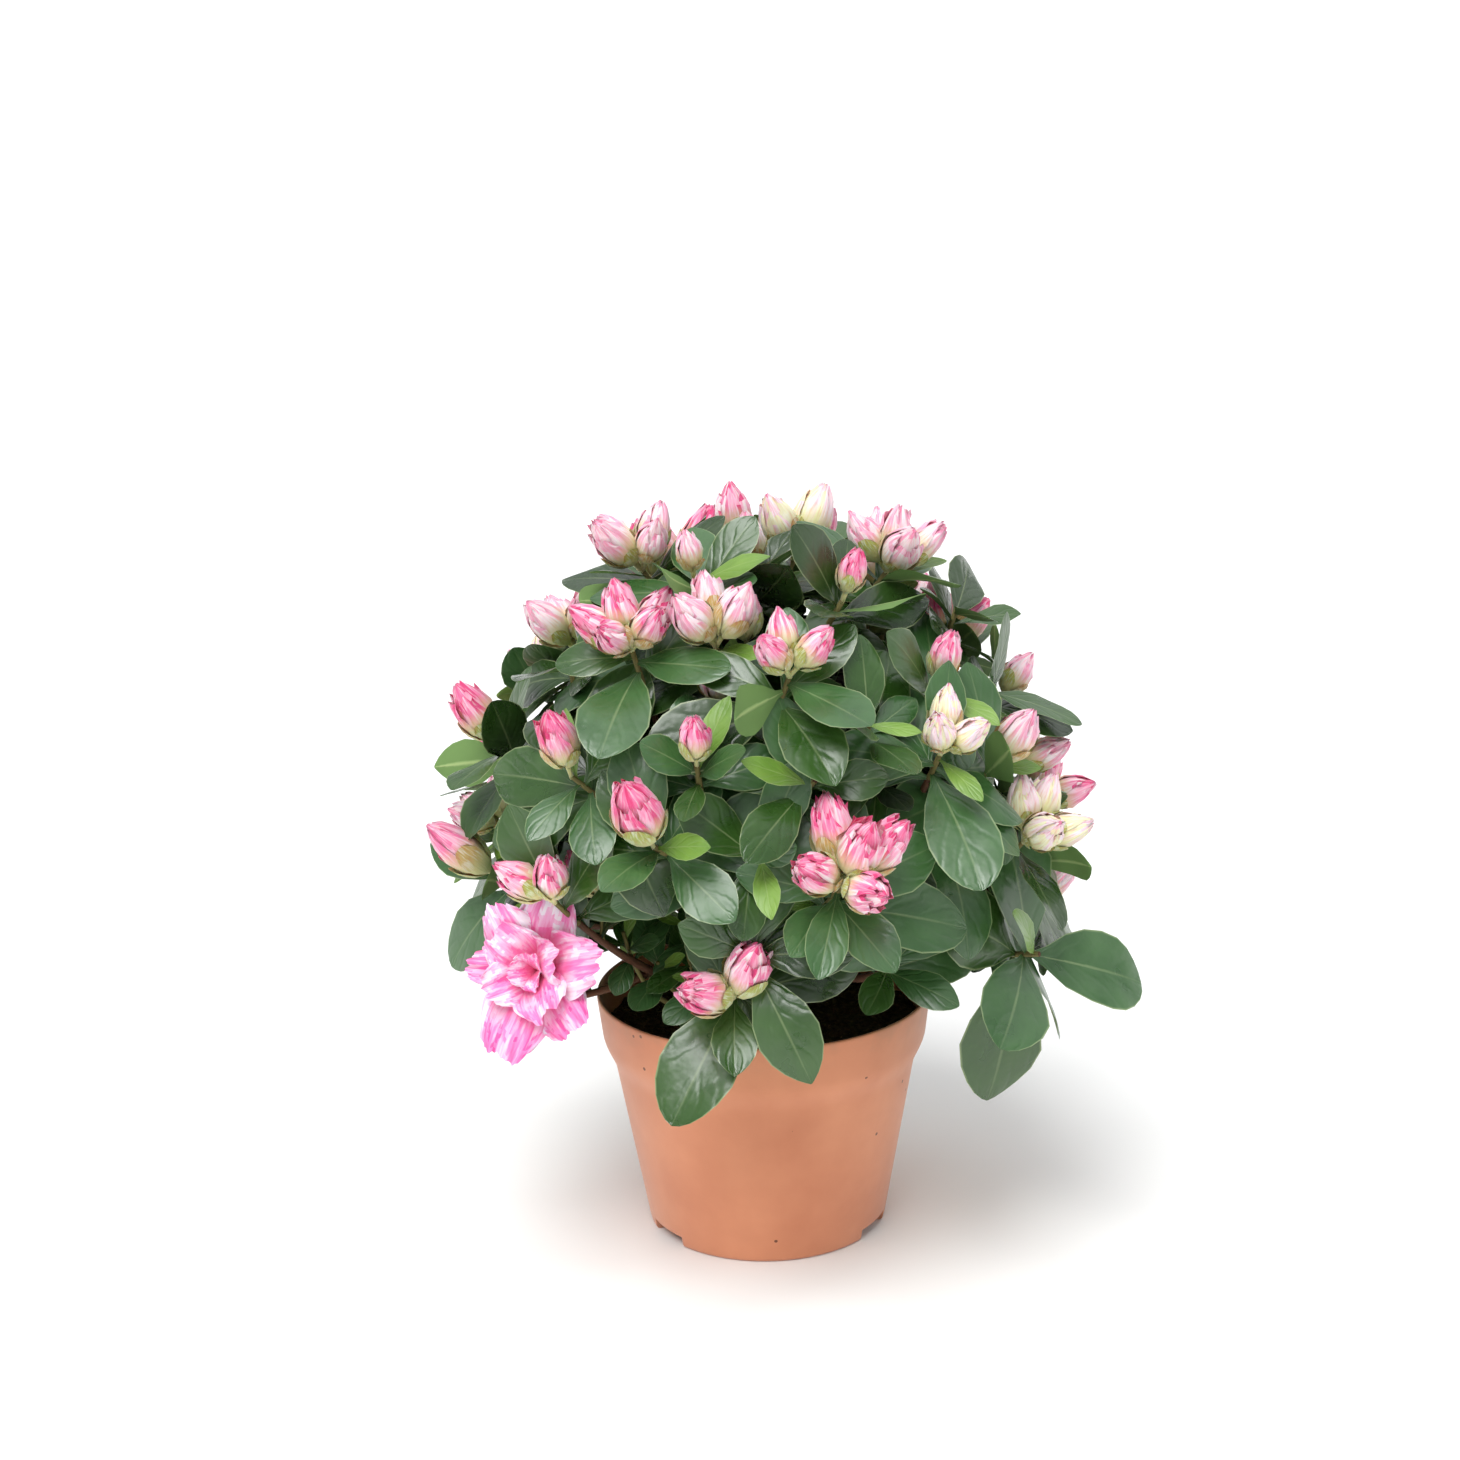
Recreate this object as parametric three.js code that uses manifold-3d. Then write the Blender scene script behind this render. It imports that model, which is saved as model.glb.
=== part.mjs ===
// A florist's azalea in bud, grown as a low round bush in a thin plastic pot.
// Millimetres, +Z up, front towards -Y. The origin is the middle of the pot's flat underside.
//
// The shrub stands on one short trunk. One bough leaves it for each mass of foliage. A mass is a
// cell of the crown: a cone whose point is the fork and whose middle line is the mass's heading.
// Its stem meets the bough's tip, twigs fan out from it to the sprays, and each spray is a whorl
// of leaves round a cluster of buds. Sprays that stand out are placed by name, and a golden-angle
// spiral over the dome fills the rest. A leaf or bud that would leave its cell, or touch the pot
// or a limb, is left out.

import * as THREE from 'three';
import { mergeVertices } from 'three/addons/utils/BufferGeometryUtils.js';
import Module from 'manifold-3d';

const wasm = await Module();
wasm.setup();

// Clearances
const GAP = 0.3; // between pieces that meet
const CELL_GAP = 0.3; // from a mass to the wall of its cell

// Pot: thin moulded plastic, a deep collar above a plain tapering wall
const POT_HEIGHT = 95;
const RIM_RADIUS = 65;
const RIM_DRAFT = 0.2; // how far the rim's edge stands in from the collar's greatest radius
const COLLAR_FOOT_RADIUS = 62.8;
const COLLAR_FOOT_HEIGHT = 77;
const COLLAR_TUCK = [1.2, 3]; // inwards and down, where the collar turns in to the wall
const SHOULDER_RADIUS = 58.8;
const SHOULDER_HEIGHT = 69;
const FOOT_RADIUS = 46.7;
const FOOT_EDGE = 1.6; // rounding where the wall meets the underside
const POT_WALL = 1.3;
const POT_FLOOR = 1.6;
const LIP = 0.6;
const POT_SIDES = 32;
const DRAIN_AZIMUTHS = [-58, 62, 182];
const DRAIN_HALF_ANGLE = 12; // degrees
const DRAIN_INNER_RADIUS = 38;
const DRAIN_HEIGHT = 4.5;
const DRAIN_CHEEK = 2; // degrees of wall on either side of a recess
const DRAIN_SLOT = [8, 4];
const ARC_STEPS = 4;

// Soil: peat, filled to a watering space below the rim
const SOIL_WALL_HEIGHT = 80.5;
const SOIL_TOP = 82;
const SOIL_FLAT_RADIUS = 16;
const SOIL_DRAFT = 0.3; // further from the collar than from the wall below it

// Trunk
const TRUNK_TOP = 113;
const TRUNK_LEAN = [-1.5, -2]; // how far its top stands to the left and to the front
const FLARE_RADIUS = 9;
const FLARE_HEIGHT = 9;
const TRUNK_RADIUS = 5.4;
const FORK_RADIUS = 4.6;
const FLARE_LOBES = 4;
const LOBE_DEPTH = 0.18; // of the flare's radius
const TRUNK_SIDES = 10;
const TRUNK_STEPS = 7;

// Boughs
const BOUGH_RADIUS = 2.4;
const BOUGH_GAIN = 0.014; // more radius for each degree that it stands up
const BOUGH_BEND = 0.45; // straight share of a bough at its tip
const BOUGH_SIDES = 5;
const BOUGH_STEPS = 3;

// Crown: a dome of spray centres round a middle height, and the fork that the masses fan from
const CROWN_RADIUS = 104;
const CROWN_MIDDLE = 160;
const CROWN_RISE = 112;
const CROWN_DROP = 55;
const FORK = new THREE.Vector3(0, 0, 100);
// Rings of masses: the way from the fork to the sprays is their reach, along the heading.
const TOP = { azimuth: 30, elevation: 87, reach: 171, rootHeight: 108 };
const SHOULDERS = { count: 5, first: -18, elevation: 47, reach: 138, rootHeight: 98.5, rootStep: 1.4 };
const SKIRTS = { count: 8, first: -52, elevations: [14, 19], reach: 104, rootHeights: [85.6, 90.6] };
const STEM_START = 0.42; // where a mass's stem begins, as a share of its reach
const STEM_END = 0.56;
const DENSE_STEM_END = 0.63; // in a dense mass, whose core hides it
const STEM_RADIUS = 2.1;
const TWIG_ROOT_RADIUS = 1.9;
const TWIG_TIP_RADIUS = 1.4;
const TWIG_SAG = 0.07; // of a twig's length
const TWIG_ROOTS = 0.75; // share of an open mass's stem that twigs leave from
const TWIG_SIDES = 3;
const TWIG_STEPS = 2;
const CORE_RADIUS = 26;
const CORE_THICKNESS = 22;
const CORE_LEAVES = 10; // that stand out of each core between its twigs
const CORE_LEAF_PLACES = [0.3, 0.8]; // shares of the core's radius
const CORE_LEAF_SPREAD = [42, 98]; // degrees from the heading

// Sprays
const SPRAY_SPACING = 27.5; // least way between spray centres
const SPIRAL_SPRAYS = 112;
const SPIRAL_LOWEST = -34; // degrees of latitude on the dome
const SPIRAL_JITTER = [3, 4]; // degrees of latitude and of azimuth
const SPIRAL_DEPTH = [0.93, 1.03]; // shares of the way from the fork to the dome
const SPIRAL_BUDS = 4; // a spray of the spiral has fewer than this
const SPRAY_OUTWARD = 0.8; // a spray's axis is this much outward
const SPRAY_UPWARD = 0.45; // and this much upward
const SPRAY_SIZES = [0.9, 1.1];
const LEAVES_IN_SPRAY = 7;
const LEAF_LENGTH = 47;
const LEAF_GROWTH = [0.78, 1.08]; // shares of that, from the youngest leaf to the oldest
const LEAF_SIZES = [0.92, 1.08];
const LEAF_SPREAD = [50, 88]; // degrees from the spray's axis, from the youngest to the oldest
const DROOP = 12; // more spread on a drooping shoot
const LEAF_JITTER = [8, 6]; // degrees of turn and of spread
const LEAF_WIDTH = 0.56; // of its length
const LEAF_THICKNESS = 1.1;
const LEAF_ARCH = 0.16; // how far the tip sinks, of its length
const WHORL_START = 2.5; // from the top of the twig down to the first leaf
const WHORL_STEP = 1.7; // along the twig from one leaf to the next
const ROOT_DEPTH = 0.5; // how far a leaf or bud is sunk past the twig's middle line
const BUD_LENGTH = 22;
const BUD_RADIUS = 6.5;
const BUD_SIZES = [0.85, 1];
const MOST_BUDS = 2; // in one spray; fuller clusters have larger buds
const FULL_CLUSTER = 1.2; // by which they are larger
const BUD_LEAN = [0.12, 0.75]; // a single bud's, and one of a pair's
const GOLDEN_ANGLE = 137.5;

function along([from, to], share) {
  return from + (to - from) * share;
}

// Azimuths are degrees from the front, positive to the right as seen from there.
function at(azimuth, radius, height) {
  const turn = THREE.MathUtils.degToRad(azimuth);
  return new THREE.Vector3(radius * Math.sin(turn), -radius * Math.cos(turn), height);
}

function heading(azimuth, elevation) {
  const rise = THREE.MathUtils.degToRad(elevation);
  return at(azimuth, Math.cos(rise), Math.sin(rise));
}

function onDome(azimuth, latitude) {
  const rise = THREE.MathUtils.degToRad(latitude);
  const half = latitude < 0 ? CROWN_DROP : CROWN_RISE;
  return at(azimuth, CROWN_RADIUS * Math.cos(rise), CROWN_MIDDLE + half * Math.sin(rise));
}

// A small seeded generator, so that each run grows the same plant.
let seed = 4127;
function random() {
  seed = (seed * 16807) % 2147483647;
  return seed / 2147483647;
}

function between(low, high) {
  return low + (high - low) * random();
}

function jitter(most) {
  return between(-most, most);
}

// Masses of foliage: the crown's top, a ring on its shoulder and a ring round its skirt.
const MASSES = [{ name: 'mass_crown', ...TOP, dense: true }];
for (let i = 0; i < SHOULDERS.count; i += 1) {
  MASSES.push({
    name: `mass_shoulder_${i + 1}`,
    azimuth: SHOULDERS.first + (360 * i) / SHOULDERS.count,
    elevation: SHOULDERS.elevation,
    rootHeight: SHOULDERS.rootHeight + SHOULDERS.rootStep * ((2 * i) % SHOULDERS.count),
    reach: SHOULDERS.reach,
    dense: true,
  });
}
for (let i = 0; i < SKIRTS.count; i += 1) {
  MASSES.push({
    name: `mass_skirt_${i + 1}`,
    azimuth: SKIRTS.first + (360 * i) / SKIRTS.count,
    elevation: SKIRTS.elevations[i % 2],
    rootHeight: SKIRTS.rootHeights[i % 2],
    reach: SKIRTS.reach,
    dense: false,
  });
}
for (const mass of MASSES) {
  mass.heading = heading(mass.azimuth, mass.elevation);
  mass.stemStart = mass.heading.clone().multiplyScalar(mass.reach * STEM_START).add(FORK);
  const stemShare = mass.dense ? DENSE_STEM_END : STEM_END;
  mass.stemEnd = mass.heading.clone().multiplyScalar(mass.reach * stemShare).add(FORK);
  mass.walls = [];
  mass.sprays = [];
}
for (const mass of MASSES) {
  for (const other of MASSES) {
    if (other !== mass) mass.walls.push(mass.heading.clone().sub(other.heading).normalize());
  }
}

function massOf(point) {
  const way = point.clone().sub(FORK);
  return MASSES.reduce((best, mass) => (way.dot(mass.heading) > way.dot(best.heading) ? mass : best));
}

// How far inside its cell a point lies: negative outside.
function depthInCell(mass, point) {
  const way = point.clone().sub(FORK);
  return Math.min(...mass.walls.map((wall) => way.dot(wall)));
}

// Sprays that the eye finds first, on the dome: azimuth, latitude, number of buds.
const DOME_SPRAYS = [
  [-40, 48, 6],
  [8, 44, 3],
  [-44, 22, 1],
  [-80, 20, 1],
  [-76, -10, 1],
  [-46, -4, 2],
  [-22, 12, 1],
  [-14, 27, 1],
  [15, 5, 5],
  [42, 25, 3],
  [68, 2, 4],
  [36, 60, 1],
  [-80, 66, 4],
  [86, 62, 5],
];

// Shoots that droop round the rim: azimuth, radius, height, number of buds.
const SKIRT_SPRAYS = [
  [-8, 85, 123, 2],
  [32, 86, 130, 0],
  [62, 102, 122, 0],
  [98, 96, 120, 1],
  [133, 102, 112, 0],
  [171, 90, 119, 2],
  [-143, 101, 113, 1],
  [-101, 97, 119, 0],
];
const OPEN_FLOWER = [-53, 95, 113];
const FLOWER_HEADING = heading(-36, 12);

// Places low on the dome that stay open, so that stems and soil show: azimuths and greatest height.
const OPEN_PLACES = [
  [-42, -14, 165],
  [24, 50, 158],
];

const taken = [];
function addSpray(hub, buds, habit = {}) {
  const axis = hub.clone().sub(FORK).normalize().multiplyScalar(SPRAY_OUTWARD);
  axis.z += SPRAY_UPWARD;
  axis.normalize();
  const spray = { hub, buds, axis, turn: between(0, 360), size: between(...SPRAY_SIZES), ...habit };
  massOf(hub).sprays.push(spray);
  taken.push(hub);
}

for (const [azimuth, latitude, buds] of DOME_SPRAYS) addSpray(onDome(azimuth, latitude), buds);
for (const [azimuth, radius, height, buds] of SKIRT_SPRAYS) {
  addSpray(at(azimuth, radius, height), buds, { drooping: true });
}
addSpray(at(...OPEN_FLOWER), 0, { flower: true, drooping: true });

const lowestSine = Math.sin(THREE.MathUtils.degToRad(SPIRAL_LOWEST));
for (let i = 0; i < SPIRAL_SPRAYS; i += 1) {
  const sine = 1 - ((i + 0.5) / SPIRAL_SPRAYS) * (1 - lowestSine);
  const latitude = THREE.MathUtils.radToDeg(Math.asin(sine)) + jitter(SPIRAL_JITTER[0]);
  const azimuth = ((i * GOLDEN_ANGLE + jitter(SPIRAL_JITTER[1]) + 180) % 360) - 180;
  const budChance = random();
  const hub = onDome(azimuth, Math.min(latitude, 90));
  hub.sub(FORK).multiplyScalar(between(...SPIRAL_DEPTH)).add(FORK);
  const open = OPEN_PLACES.some(([from, to, top]) => azimuth > from && azimuth < to && hub.z < top);
  const crowded = taken.some((other) => other.distanceTo(hub) < SPRAY_SPACING);
  if (!open && !crowded) addSpray(hub, Math.floor(budChance * SPIRAL_BUDS));
}

// Closed shapes
function bare(geometry) {
  geometry.deleteAttribute('normal');
  geometry.deleteAttribute('uv');
  return mergeVertices(geometry, 1e-5);
}

function solidOf(geometry) {
  const merged = bare(geometry);
  const corners = merged.index.array;
  const whole = [];
  for (let i = 0; i < corners.length; i += 3) {
    const [a, b, c] = [corners[i], corners[i + 1], corners[i + 2]];
    if (a !== b && b !== c && c !== a) whole.push(a, b, c);
  }
  const mesh = new wasm.Mesh({
    numProp: 3,
    vertProperties: new Float32Array(merged.attributes.position.array),
    triVerts: new Uint32Array(whole),
  });
  return new wasm.Manifold(mesh);
}

// The largest shell of a fused solid. Loose scraps are dropped and sealed hollows are filled.
function mainBody(solid) {
  const { vertProperties: points, triVerts: corners } = solid.getMesh();
  const parent = Array.from({ length: points.length / 3 }, (_, i) => i);
  const rootOf = (i) => {
    while (parent[i] !== i) {
      parent[i] = parent[parent[i]];
      i = parent[i];
    }
    return i;
  };
  for (let i = 0; i < corners.length; i += 3) {
    parent[rootOf(corners[i])] = rootOf(corners[i + 1]);
    parent[rootOf(corners[i + 1])] = rootOf(corners[i + 2]);
  }
  const volumes = new Map();
  const corner = (i) => new THREE.Vector3().fromArray(points, 3 * corners[i]);
  for (let i = 0; i < corners.length; i += 3) {
    const shell = rootOf(corners[i]);
    const volume = corner(i).dot(corner(i + 1).cross(corner(i + 2))) / 6;
    volumes.set(shell, (volumes.get(shell) ?? 0) + volume);
  }
  const main = [...volumes.keys()].reduce((a, b) => (volumes.get(b) > volumes.get(a) ? b : a));
  const kept = [];
  for (let i = 0; i < corners.length; i += 3) {
    if (rootOf(corners[i]) === main) kept.push(corners[i], corners[i + 1], corners[i + 2]);
  }
  const geometry = new THREE.BufferGeometry();
  geometry.setAttribute('position', new THREE.BufferAttribute(new Float32Array(points), 3));
  geometry.setIndex(kept);
  return geometry;
}

// A tapering limb: a cylinder laid along a curve, its radius worked out from the share of the way.
function limb(curve, radiusAt, sides, steps) {
  const geometry = bare(new THREE.CylinderGeometry(1, 1, 1, sides, steps));
  const position = geometry.attributes.position;
  const frames = [];
  let across = new THREE.Vector3(1, 0, 0);
  for (let i = 0; i <= steps; i += 1) {
    const forward = curve.getTangent(i / steps);
    if (i === 0 && Math.abs(forward.x) > 0.8) across.set(0, 1, 0);
    across = across.clone().addScaledVector(forward, -across.dot(forward)).normalize();
    frames.push({ middle: curve.getPoint(i / steps), across, over: forward.clone().cross(across) });
  }
  for (let i = 0; i < position.count; i += 1) {
    const share = position.getY(i) + 0.5;
    const { middle, across: x, over: y } = frames[Math.round(share * steps)];
    const angle = Math.atan2(position.getX(i), position.getZ(i));
    const onAxis = Math.hypot(position.getX(i), position.getZ(i)) < 0.5;
    const radius = onAxis ? 0 : radiusAt(share, angle);
    const point = middle.clone();
    point.addScaledVector(x, radius * Math.cos(angle)).addScaledVector(y, radius * Math.sin(angle));
    position.setXYZ(i, point.x, point.y, point.z);
  }
  return geometry;
}

// A flat blade with four corners, widest beyond its middle, which sinks as it arches.
const BLADE_WIDEST = 0.6; // share of its length

function blade(root, direction, facing, length, width, arch) {
  const side = direction.clone().cross(facing).normalize();
  const up = side.clone().cross(direction).normalize();
  const geometry = bare(new THREE.SphereGeometry(1, 4, 2));
  const position = geometry.attributes.position;
  const place = (share, across, lift) => {
    const point = root.clone().addScaledVector(direction, share * length);
    point.addScaledVector(side, across * width).addScaledVector(up, lift);
    point.z -= arch * length * share ** 2;
    return point;
  };
  for (let i = 0; i < position.count; i += 1) {
    const [x, y, z] = [position.getX(i), position.getY(i), position.getZ(i)];
    const share = Math.abs(x) > 0.5 ? (x + 1) / 2 : BLADE_WIDEST;
    const point = place(share, z / 2, (y * LEAF_THICKNESS) / 2);
    position.setXYZ(i, point.x, point.y, point.z);
  }
  return geometry;
}

// A bud: a four-sided egg.
function bud(root, direction, length, radius) {
  const geometry = bare(new THREE.SphereGeometry(1, 4, 3));
  geometry.scale(radius, length / 2, radius);
  geometry.translate(0, length / 2 - ROOT_DEPTH, 0);
  const turn = new THREE.Quaternion().setFromUnitVectors(new THREE.Vector3(0, 1, 0), direction);
  geometry.applyQuaternion(turn);
  geometry.translate(root.x, root.y, root.z);
  return geometry;
}

// Room for a shape: its corners, and points spread along its edges, are tested one by one.
const EDGE_STEPS = 8;
function pointsOn(geometry) {
  const position = geometry.attributes.position;
  const corners = geometry.index.array;
  const corner = (i) => new THREE.Vector3().fromBufferAttribute(position, corners[i]);
  const points = [];
  for (let i = 0; i < corners.length; i += 3) {
    for (let j = 0; j < 3; j += 1) {
      if (corners[i + j] > corners[i + ((j + 1) % 3)]) continue;
      const [from, to] = [corner(i + j), corner(i + ((j + 1) % 3))];
      for (let k = 0; k <= EDGE_STEPS; k += 1) points.push(from.clone().lerp(to, k / EDGE_STEPS));
    }
  }
  return points;
}

const POT_CLEARANCE = 1.5;
const COLLAR_CLEARANCE = 3; // the most that the collar stands out from a straight-sided pot
const SOIL_CLEARANCE = 4;
const LIMB_CLEARANCE = 2.2;
const LOWEST_LEAF = 46; // nothing hangs lower than this

// Clear of the pot's wall and the soil: over the rim, outside the wall or above the soil.
function clearOfPot(point) {
  const radius = Math.hypot(point.x, point.y);
  if (point.z > POT_HEIGHT + POT_CLEARANCE) return true;
  if (point.z < LOWEST_LEAF) return false;
  const straight = THREE.MathUtils.lerp(FOOT_RADIUS, RIM_RADIUS, point.z / POT_HEIGHT);
  const wall = Math.min(straight + COLLAR_CLEARANCE, RIM_RADIUS);
  if (radius > wall + POT_CLEARANCE) return true;
  return radius < RIM_RADIUS - COLLAR_CLEARANCE - POT_WALL && point.z > SOIL_TOP + SOIL_CLEARANCE;
}

const limbPoints = []; // points along the trunk and boughs, with the radius there
function clearOfLimbs(point) {
  return limbPoints.every(({ middle, radius }) => middle.distanceTo(point) > radius + LIMB_CLEARANCE);
}

function fits(mass, geometry) {
  return pointsOn(geometry).every(
    (point) => depthInCell(mass, point) > CELL_GAP && clearOfPot(point) && clearOfLimbs(point),
  );
}

// Trunk and boughs
const trunkFoot = new THREE.Vector3(0, 0, SOIL_TOP + GAP);
const trunkCurve = new THREE.QuadraticBezierCurve3(
  trunkFoot,
  new THREE.Vector3(0, 0, (SOIL_TOP + TRUNK_TOP) / 2),
  new THREE.Vector3(...TRUNK_LEAN, TRUNK_TOP),
);

function trunkRadius(share, angle) {
  const height = share * (TRUNK_TOP - SOIL_TOP);
  const flare = Math.max(0, 1 - height / FLARE_HEIGHT) ** 2;
  const lobes = 1 + LOBE_DEPTH * flare * Math.cos(FLARE_LOBES * angle);
  const straight = THREE.MathUtils.lerp(TRUNK_RADIUS, FORK_RADIUS, share);
  return (straight + (FLARE_RADIUS - TRUNK_RADIUS) * flare) * lobes;
}

function trunk(growth = 0) {
  const radiusAt = (share, angle) => trunkRadius(share, angle) + growth;
  return limb(trunkCurve, radiusAt, TRUNK_SIDES, TRUNK_STEPS);
}

function boughCurve(mass) {
  const share = (mass.rootHeight - SOIL_TOP) / (TRUNK_TOP - SOIL_TOP);
  const root = trunkCurve.getPoint(share);
  const tip = mass.stemStart.clone().addScaledVector(mass.heading, -GAP);
  const bend = tip.clone().addScaledVector(mass.heading, -BOUGH_BEND * tip.distanceTo(root));
  return new THREE.QuadraticBezierCurve3(root, bend, tip);
}

function boughRadius(mass, share) {
  const rootRadius = BOUGH_RADIUS + BOUGH_GAIN * mass.elevation;
  return THREE.MathUtils.lerp(rootRadius, STEM_RADIUS, share);
}

const LIMB_SAMPLES = 24;
for (let i = 0; i <= LIMB_SAMPLES; i += 1) {
  const share = i / LIMB_SAMPLES;
  limbPoints.push({ middle: trunkCurve.getPoint(share), radius: trunkRadius(share, 0) });
  for (const mass of MASSES) {
    limbPoints.push({ middle: boughCurve(mass).getPoint(share), radius: boughRadius(mass, share) });
  }
}

function bough(mass) {
  const radiusAt = (share) => boughRadius(mass, share);
  const whole = solidOf(limb(boughCurve(mass), radiusAt, BOUGH_SIDES, BOUGH_STEPS));
  return mainBody(whole.subtract(solidOf(trunk(GAP))));
}

// Foliage
function straightness(mass, spray) {
  return spray.hub.clone().sub(mass.stemStart).normalize().dot(mass.heading);
}

// The straightest twig leaves the stem's end. In an open mass the wider ones leave it further back.
function twigCurve(mass, spray) {
  const rank = mass.sprays.filter((other) => straightness(mass, other) > straightness(mass, spray));
  const back = mass.dense ? 0 : TWIG_ROOTS * (rank.length / mass.sprays.length);
  const start = mass.stemEnd.clone().lerp(mass.stemStart, back);
  const length = start.distanceTo(spray.hub);
  const bend = start.clone().lerp(spray.hub, 0.5);
  bend.z -= TWIG_SAG * length;
  return new THREE.QuadraticBezierCurve3(start, bend, spray.hub);
}

// A leaf is tried as it would grow, then shortened, raised and turned until it finds room.
const LEAF_TRIALS = [
  { share: 1, lift: 0, swing: 0 },
  { share: 1, lift: 12, swing: 12 },
  { share: 1, lift: -12, swing: -12 },
  { share: 0.88, lift: 8, swing: -22 },
  { share: 0.88, lift: -4, swing: 24 },
  { share: 0.78, lift: 24, swing: 0 },
  { share: 0.7, lift: -10, swing: 30 },
  { share: 0.7, lift: 18, swing: -34 },
];
const LEAF_STALK = 7; // the part near its root where a leaf may lie against its neighbours

function placeLeaf(mass, grown, leaves, { foot, axis, full, turn, spread, arch }) {
  const side = axis.clone().cross(new THREE.Vector3(0, 1, 0)).normalize();
  for (const { share, lift, swing } of LEAF_TRIALS) {
    const across = side.clone().applyAxisAngle(axis, THREE.MathUtils.degToRad(turn + swing));
    const tilt = THREE.MathUtils.degToRad(spread - lift);
    const direction = axis.clone().multiplyScalar(Math.cos(tilt)).addScaledVector(across, Math.sin(tilt));
    const length = full * share;
    const bladeFrom = (start) => {
      const root = foot.clone().addScaledVector(direction, start);
      return blade(root, direction, axis, length - start, LEAF_WIDTH * length, arch);
    };
    const leaf = bladeFrom(-ROOT_DEPTH);
    if (!fits(mass, leaf)) continue;
    const free = solidOf(bladeFrom(LEAF_STALK));
    if (!free.intersect(grown.solid).isEmpty()) continue;
    grown.solid = grown.solid.add(free);
    leaves.push(leaf);
    return;
  }
}

function leavesOf(mass, spray, grown) {
  const leaves = [];
  const curve = twigCurve(mass, spray);
  for (let k = 0; k < LEAVES_IN_SPRAY; k += 1) {
    const age = k / (LEAVES_IN_SPRAY - 1);
    placeLeaf(mass, grown, leaves, {
      foot: curve.getPointAt(1 - (WHORL_START + WHORL_STEP * k) / curve.getLength()),
      axis: spray.axis,
      full: LEAF_LENGTH * spray.size * along(LEAF_GROWTH, age) * between(...LEAF_SIZES),
      turn: spray.turn + k * GOLDEN_ANGLE + jitter(LEAF_JITTER[0]),
      spread: along(LEAF_SPREAD, age) + (spray.drooping ? DROOP : 0) + jitter(LEAF_JITTER[1]),
      arch: LEAF_ARCH * (0.5 + age),
    });
  }
  return leaves;
}

// Leaves that stand out of a core, on a golden-angle spiral round its outer side.
function coreLeavesOf(mass, grown) {
  const leaves = [];
  const side = mass.heading.clone().cross(new THREE.Vector3(0, 1, 0)).normalize();
  for (let k = 0; k < CORE_LEAVES; k += 1) {
    const turn = THREE.MathUtils.degToRad(k * GOLDEN_ANGLE);
    const outward = side.clone().applyAxisAngle(mass.heading, turn);
    const off = CORE_RADIUS * along(CORE_LEAF_PLACES, k / CORE_LEAVES);
    placeLeaf(mass, grown, leaves, {
      foot: mass.stemEnd.clone().addScaledVector(outward, off),
      axis: mass.heading,
      full: LEAF_LENGTH * between(1, SPRAY_SIZES[1]),
      turn: k * GOLDEN_ANGLE,
      spread: along(CORE_LEAF_SPREAD, k / CORE_LEAVES),
      arch: LEAF_ARCH,
    });
  }
  return leaves;
}

function budsOf(mass, spray) {
  const buds = [];
  const side = spray.axis.clone().cross(new THREE.Vector3(1, 0, 0)).normalize();
  const count = Math.min(spray.buds, MOST_BUDS);
  for (let k = 0; k < count; k += 1) {
    const turn = THREE.MathUtils.degToRad(spray.turn + (360 * k) / count);
    const lean = BUD_LEAN[count - 1];
    const across = side.clone().applyAxisAngle(spray.axis, turn);
    const direction = spray.axis.clone().addScaledVector(across, lean).normalize();
    const size = between(...BUD_SIZES) * (spray.buds > MOST_BUDS ? FULL_CLUSTER : 1);
    const shape = bud(spray.hub, direction, BUD_LENGTH * size, BUD_RADIUS * size);
    if (fits(mass, shape)) buds.push(shape);
  }
  return buds;
}

// The one open flower: whorls of petals, each whorl one thin dish with a lobed, ruffled edge.
const PETAL_NOTCH = 0.1; // of a petal's length
const FLOWER_WHORLS = [
  { radius: 26, cup: 3, ruffle: 2.5, lobes: 5, depth: 3.5 },
  { radius: 19, cup: 11, ruffle: 2, lobes: 5, depth: 5 },
  { radius: 9, cup: 15, ruffle: 1, lobes: 3, depth: 9 },
];

function whorlsOf(spray) {
  const turn = new THREE.Quaternion().setFromUnitVectors(new THREE.Vector3(0, 1, 0), FLOWER_HEADING);
  return FLOWER_WHORLS.map(({ radius, cup, ruffle, lobes, depth }) => {
    const geometry = bare(new THREE.SphereGeometry(1, 4 * lobes, 2));
    const position = geometry.attributes.position;
    for (let i = 0; i < position.count; i += 1) {
      const [x, y, z] = [position.getX(i), position.getY(i), position.getZ(i)];
      const angle = Math.atan2(z, x);
      const edge = Math.abs(y) < 0.5;
      const reach = edge ? radius * (1 - PETAL_NOTCH + PETAL_NOTCH * Math.cos(lobes * angle)) : 0;
      const rise = edge ? cup + ruffle * Math.sin(2 * lobes * angle + cup) : ((y + 1) * depth) / 2;
      position.setXYZ(i, reach * Math.cos(angle), rise, reach * Math.sin(angle));
    }
    geometry.applyQuaternion(turn);
    geometry.translate(spray.hub.x, spray.hub.y, spray.hub.z);
    return geometry;
  });
}

// Cuts off what reaches past the walls of a mass's cell.
function withinCell(mass, solid) {
  return mass.walls.reduce((kept, wall) => {
    const beyond = new THREE.BoxGeometry(4 * CROWN_RADIUS, 4 * CROWN_RADIUS, 4 * CROWN_RADIUS);
    const turn = new THREE.Quaternion().setFromUnitVectors(new THREE.Vector3(0, 0, 1), wall);
    beyond.applyQuaternion(turn);
    const middle = FORK.clone().addScaledVector(wall, CELL_GAP - 2 * CROWN_RADIUS);
    beyond.translate(middle.x, middle.y, middle.z);
    return kept.subtract(solidOf(beyond));
  }, solid);
}

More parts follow.
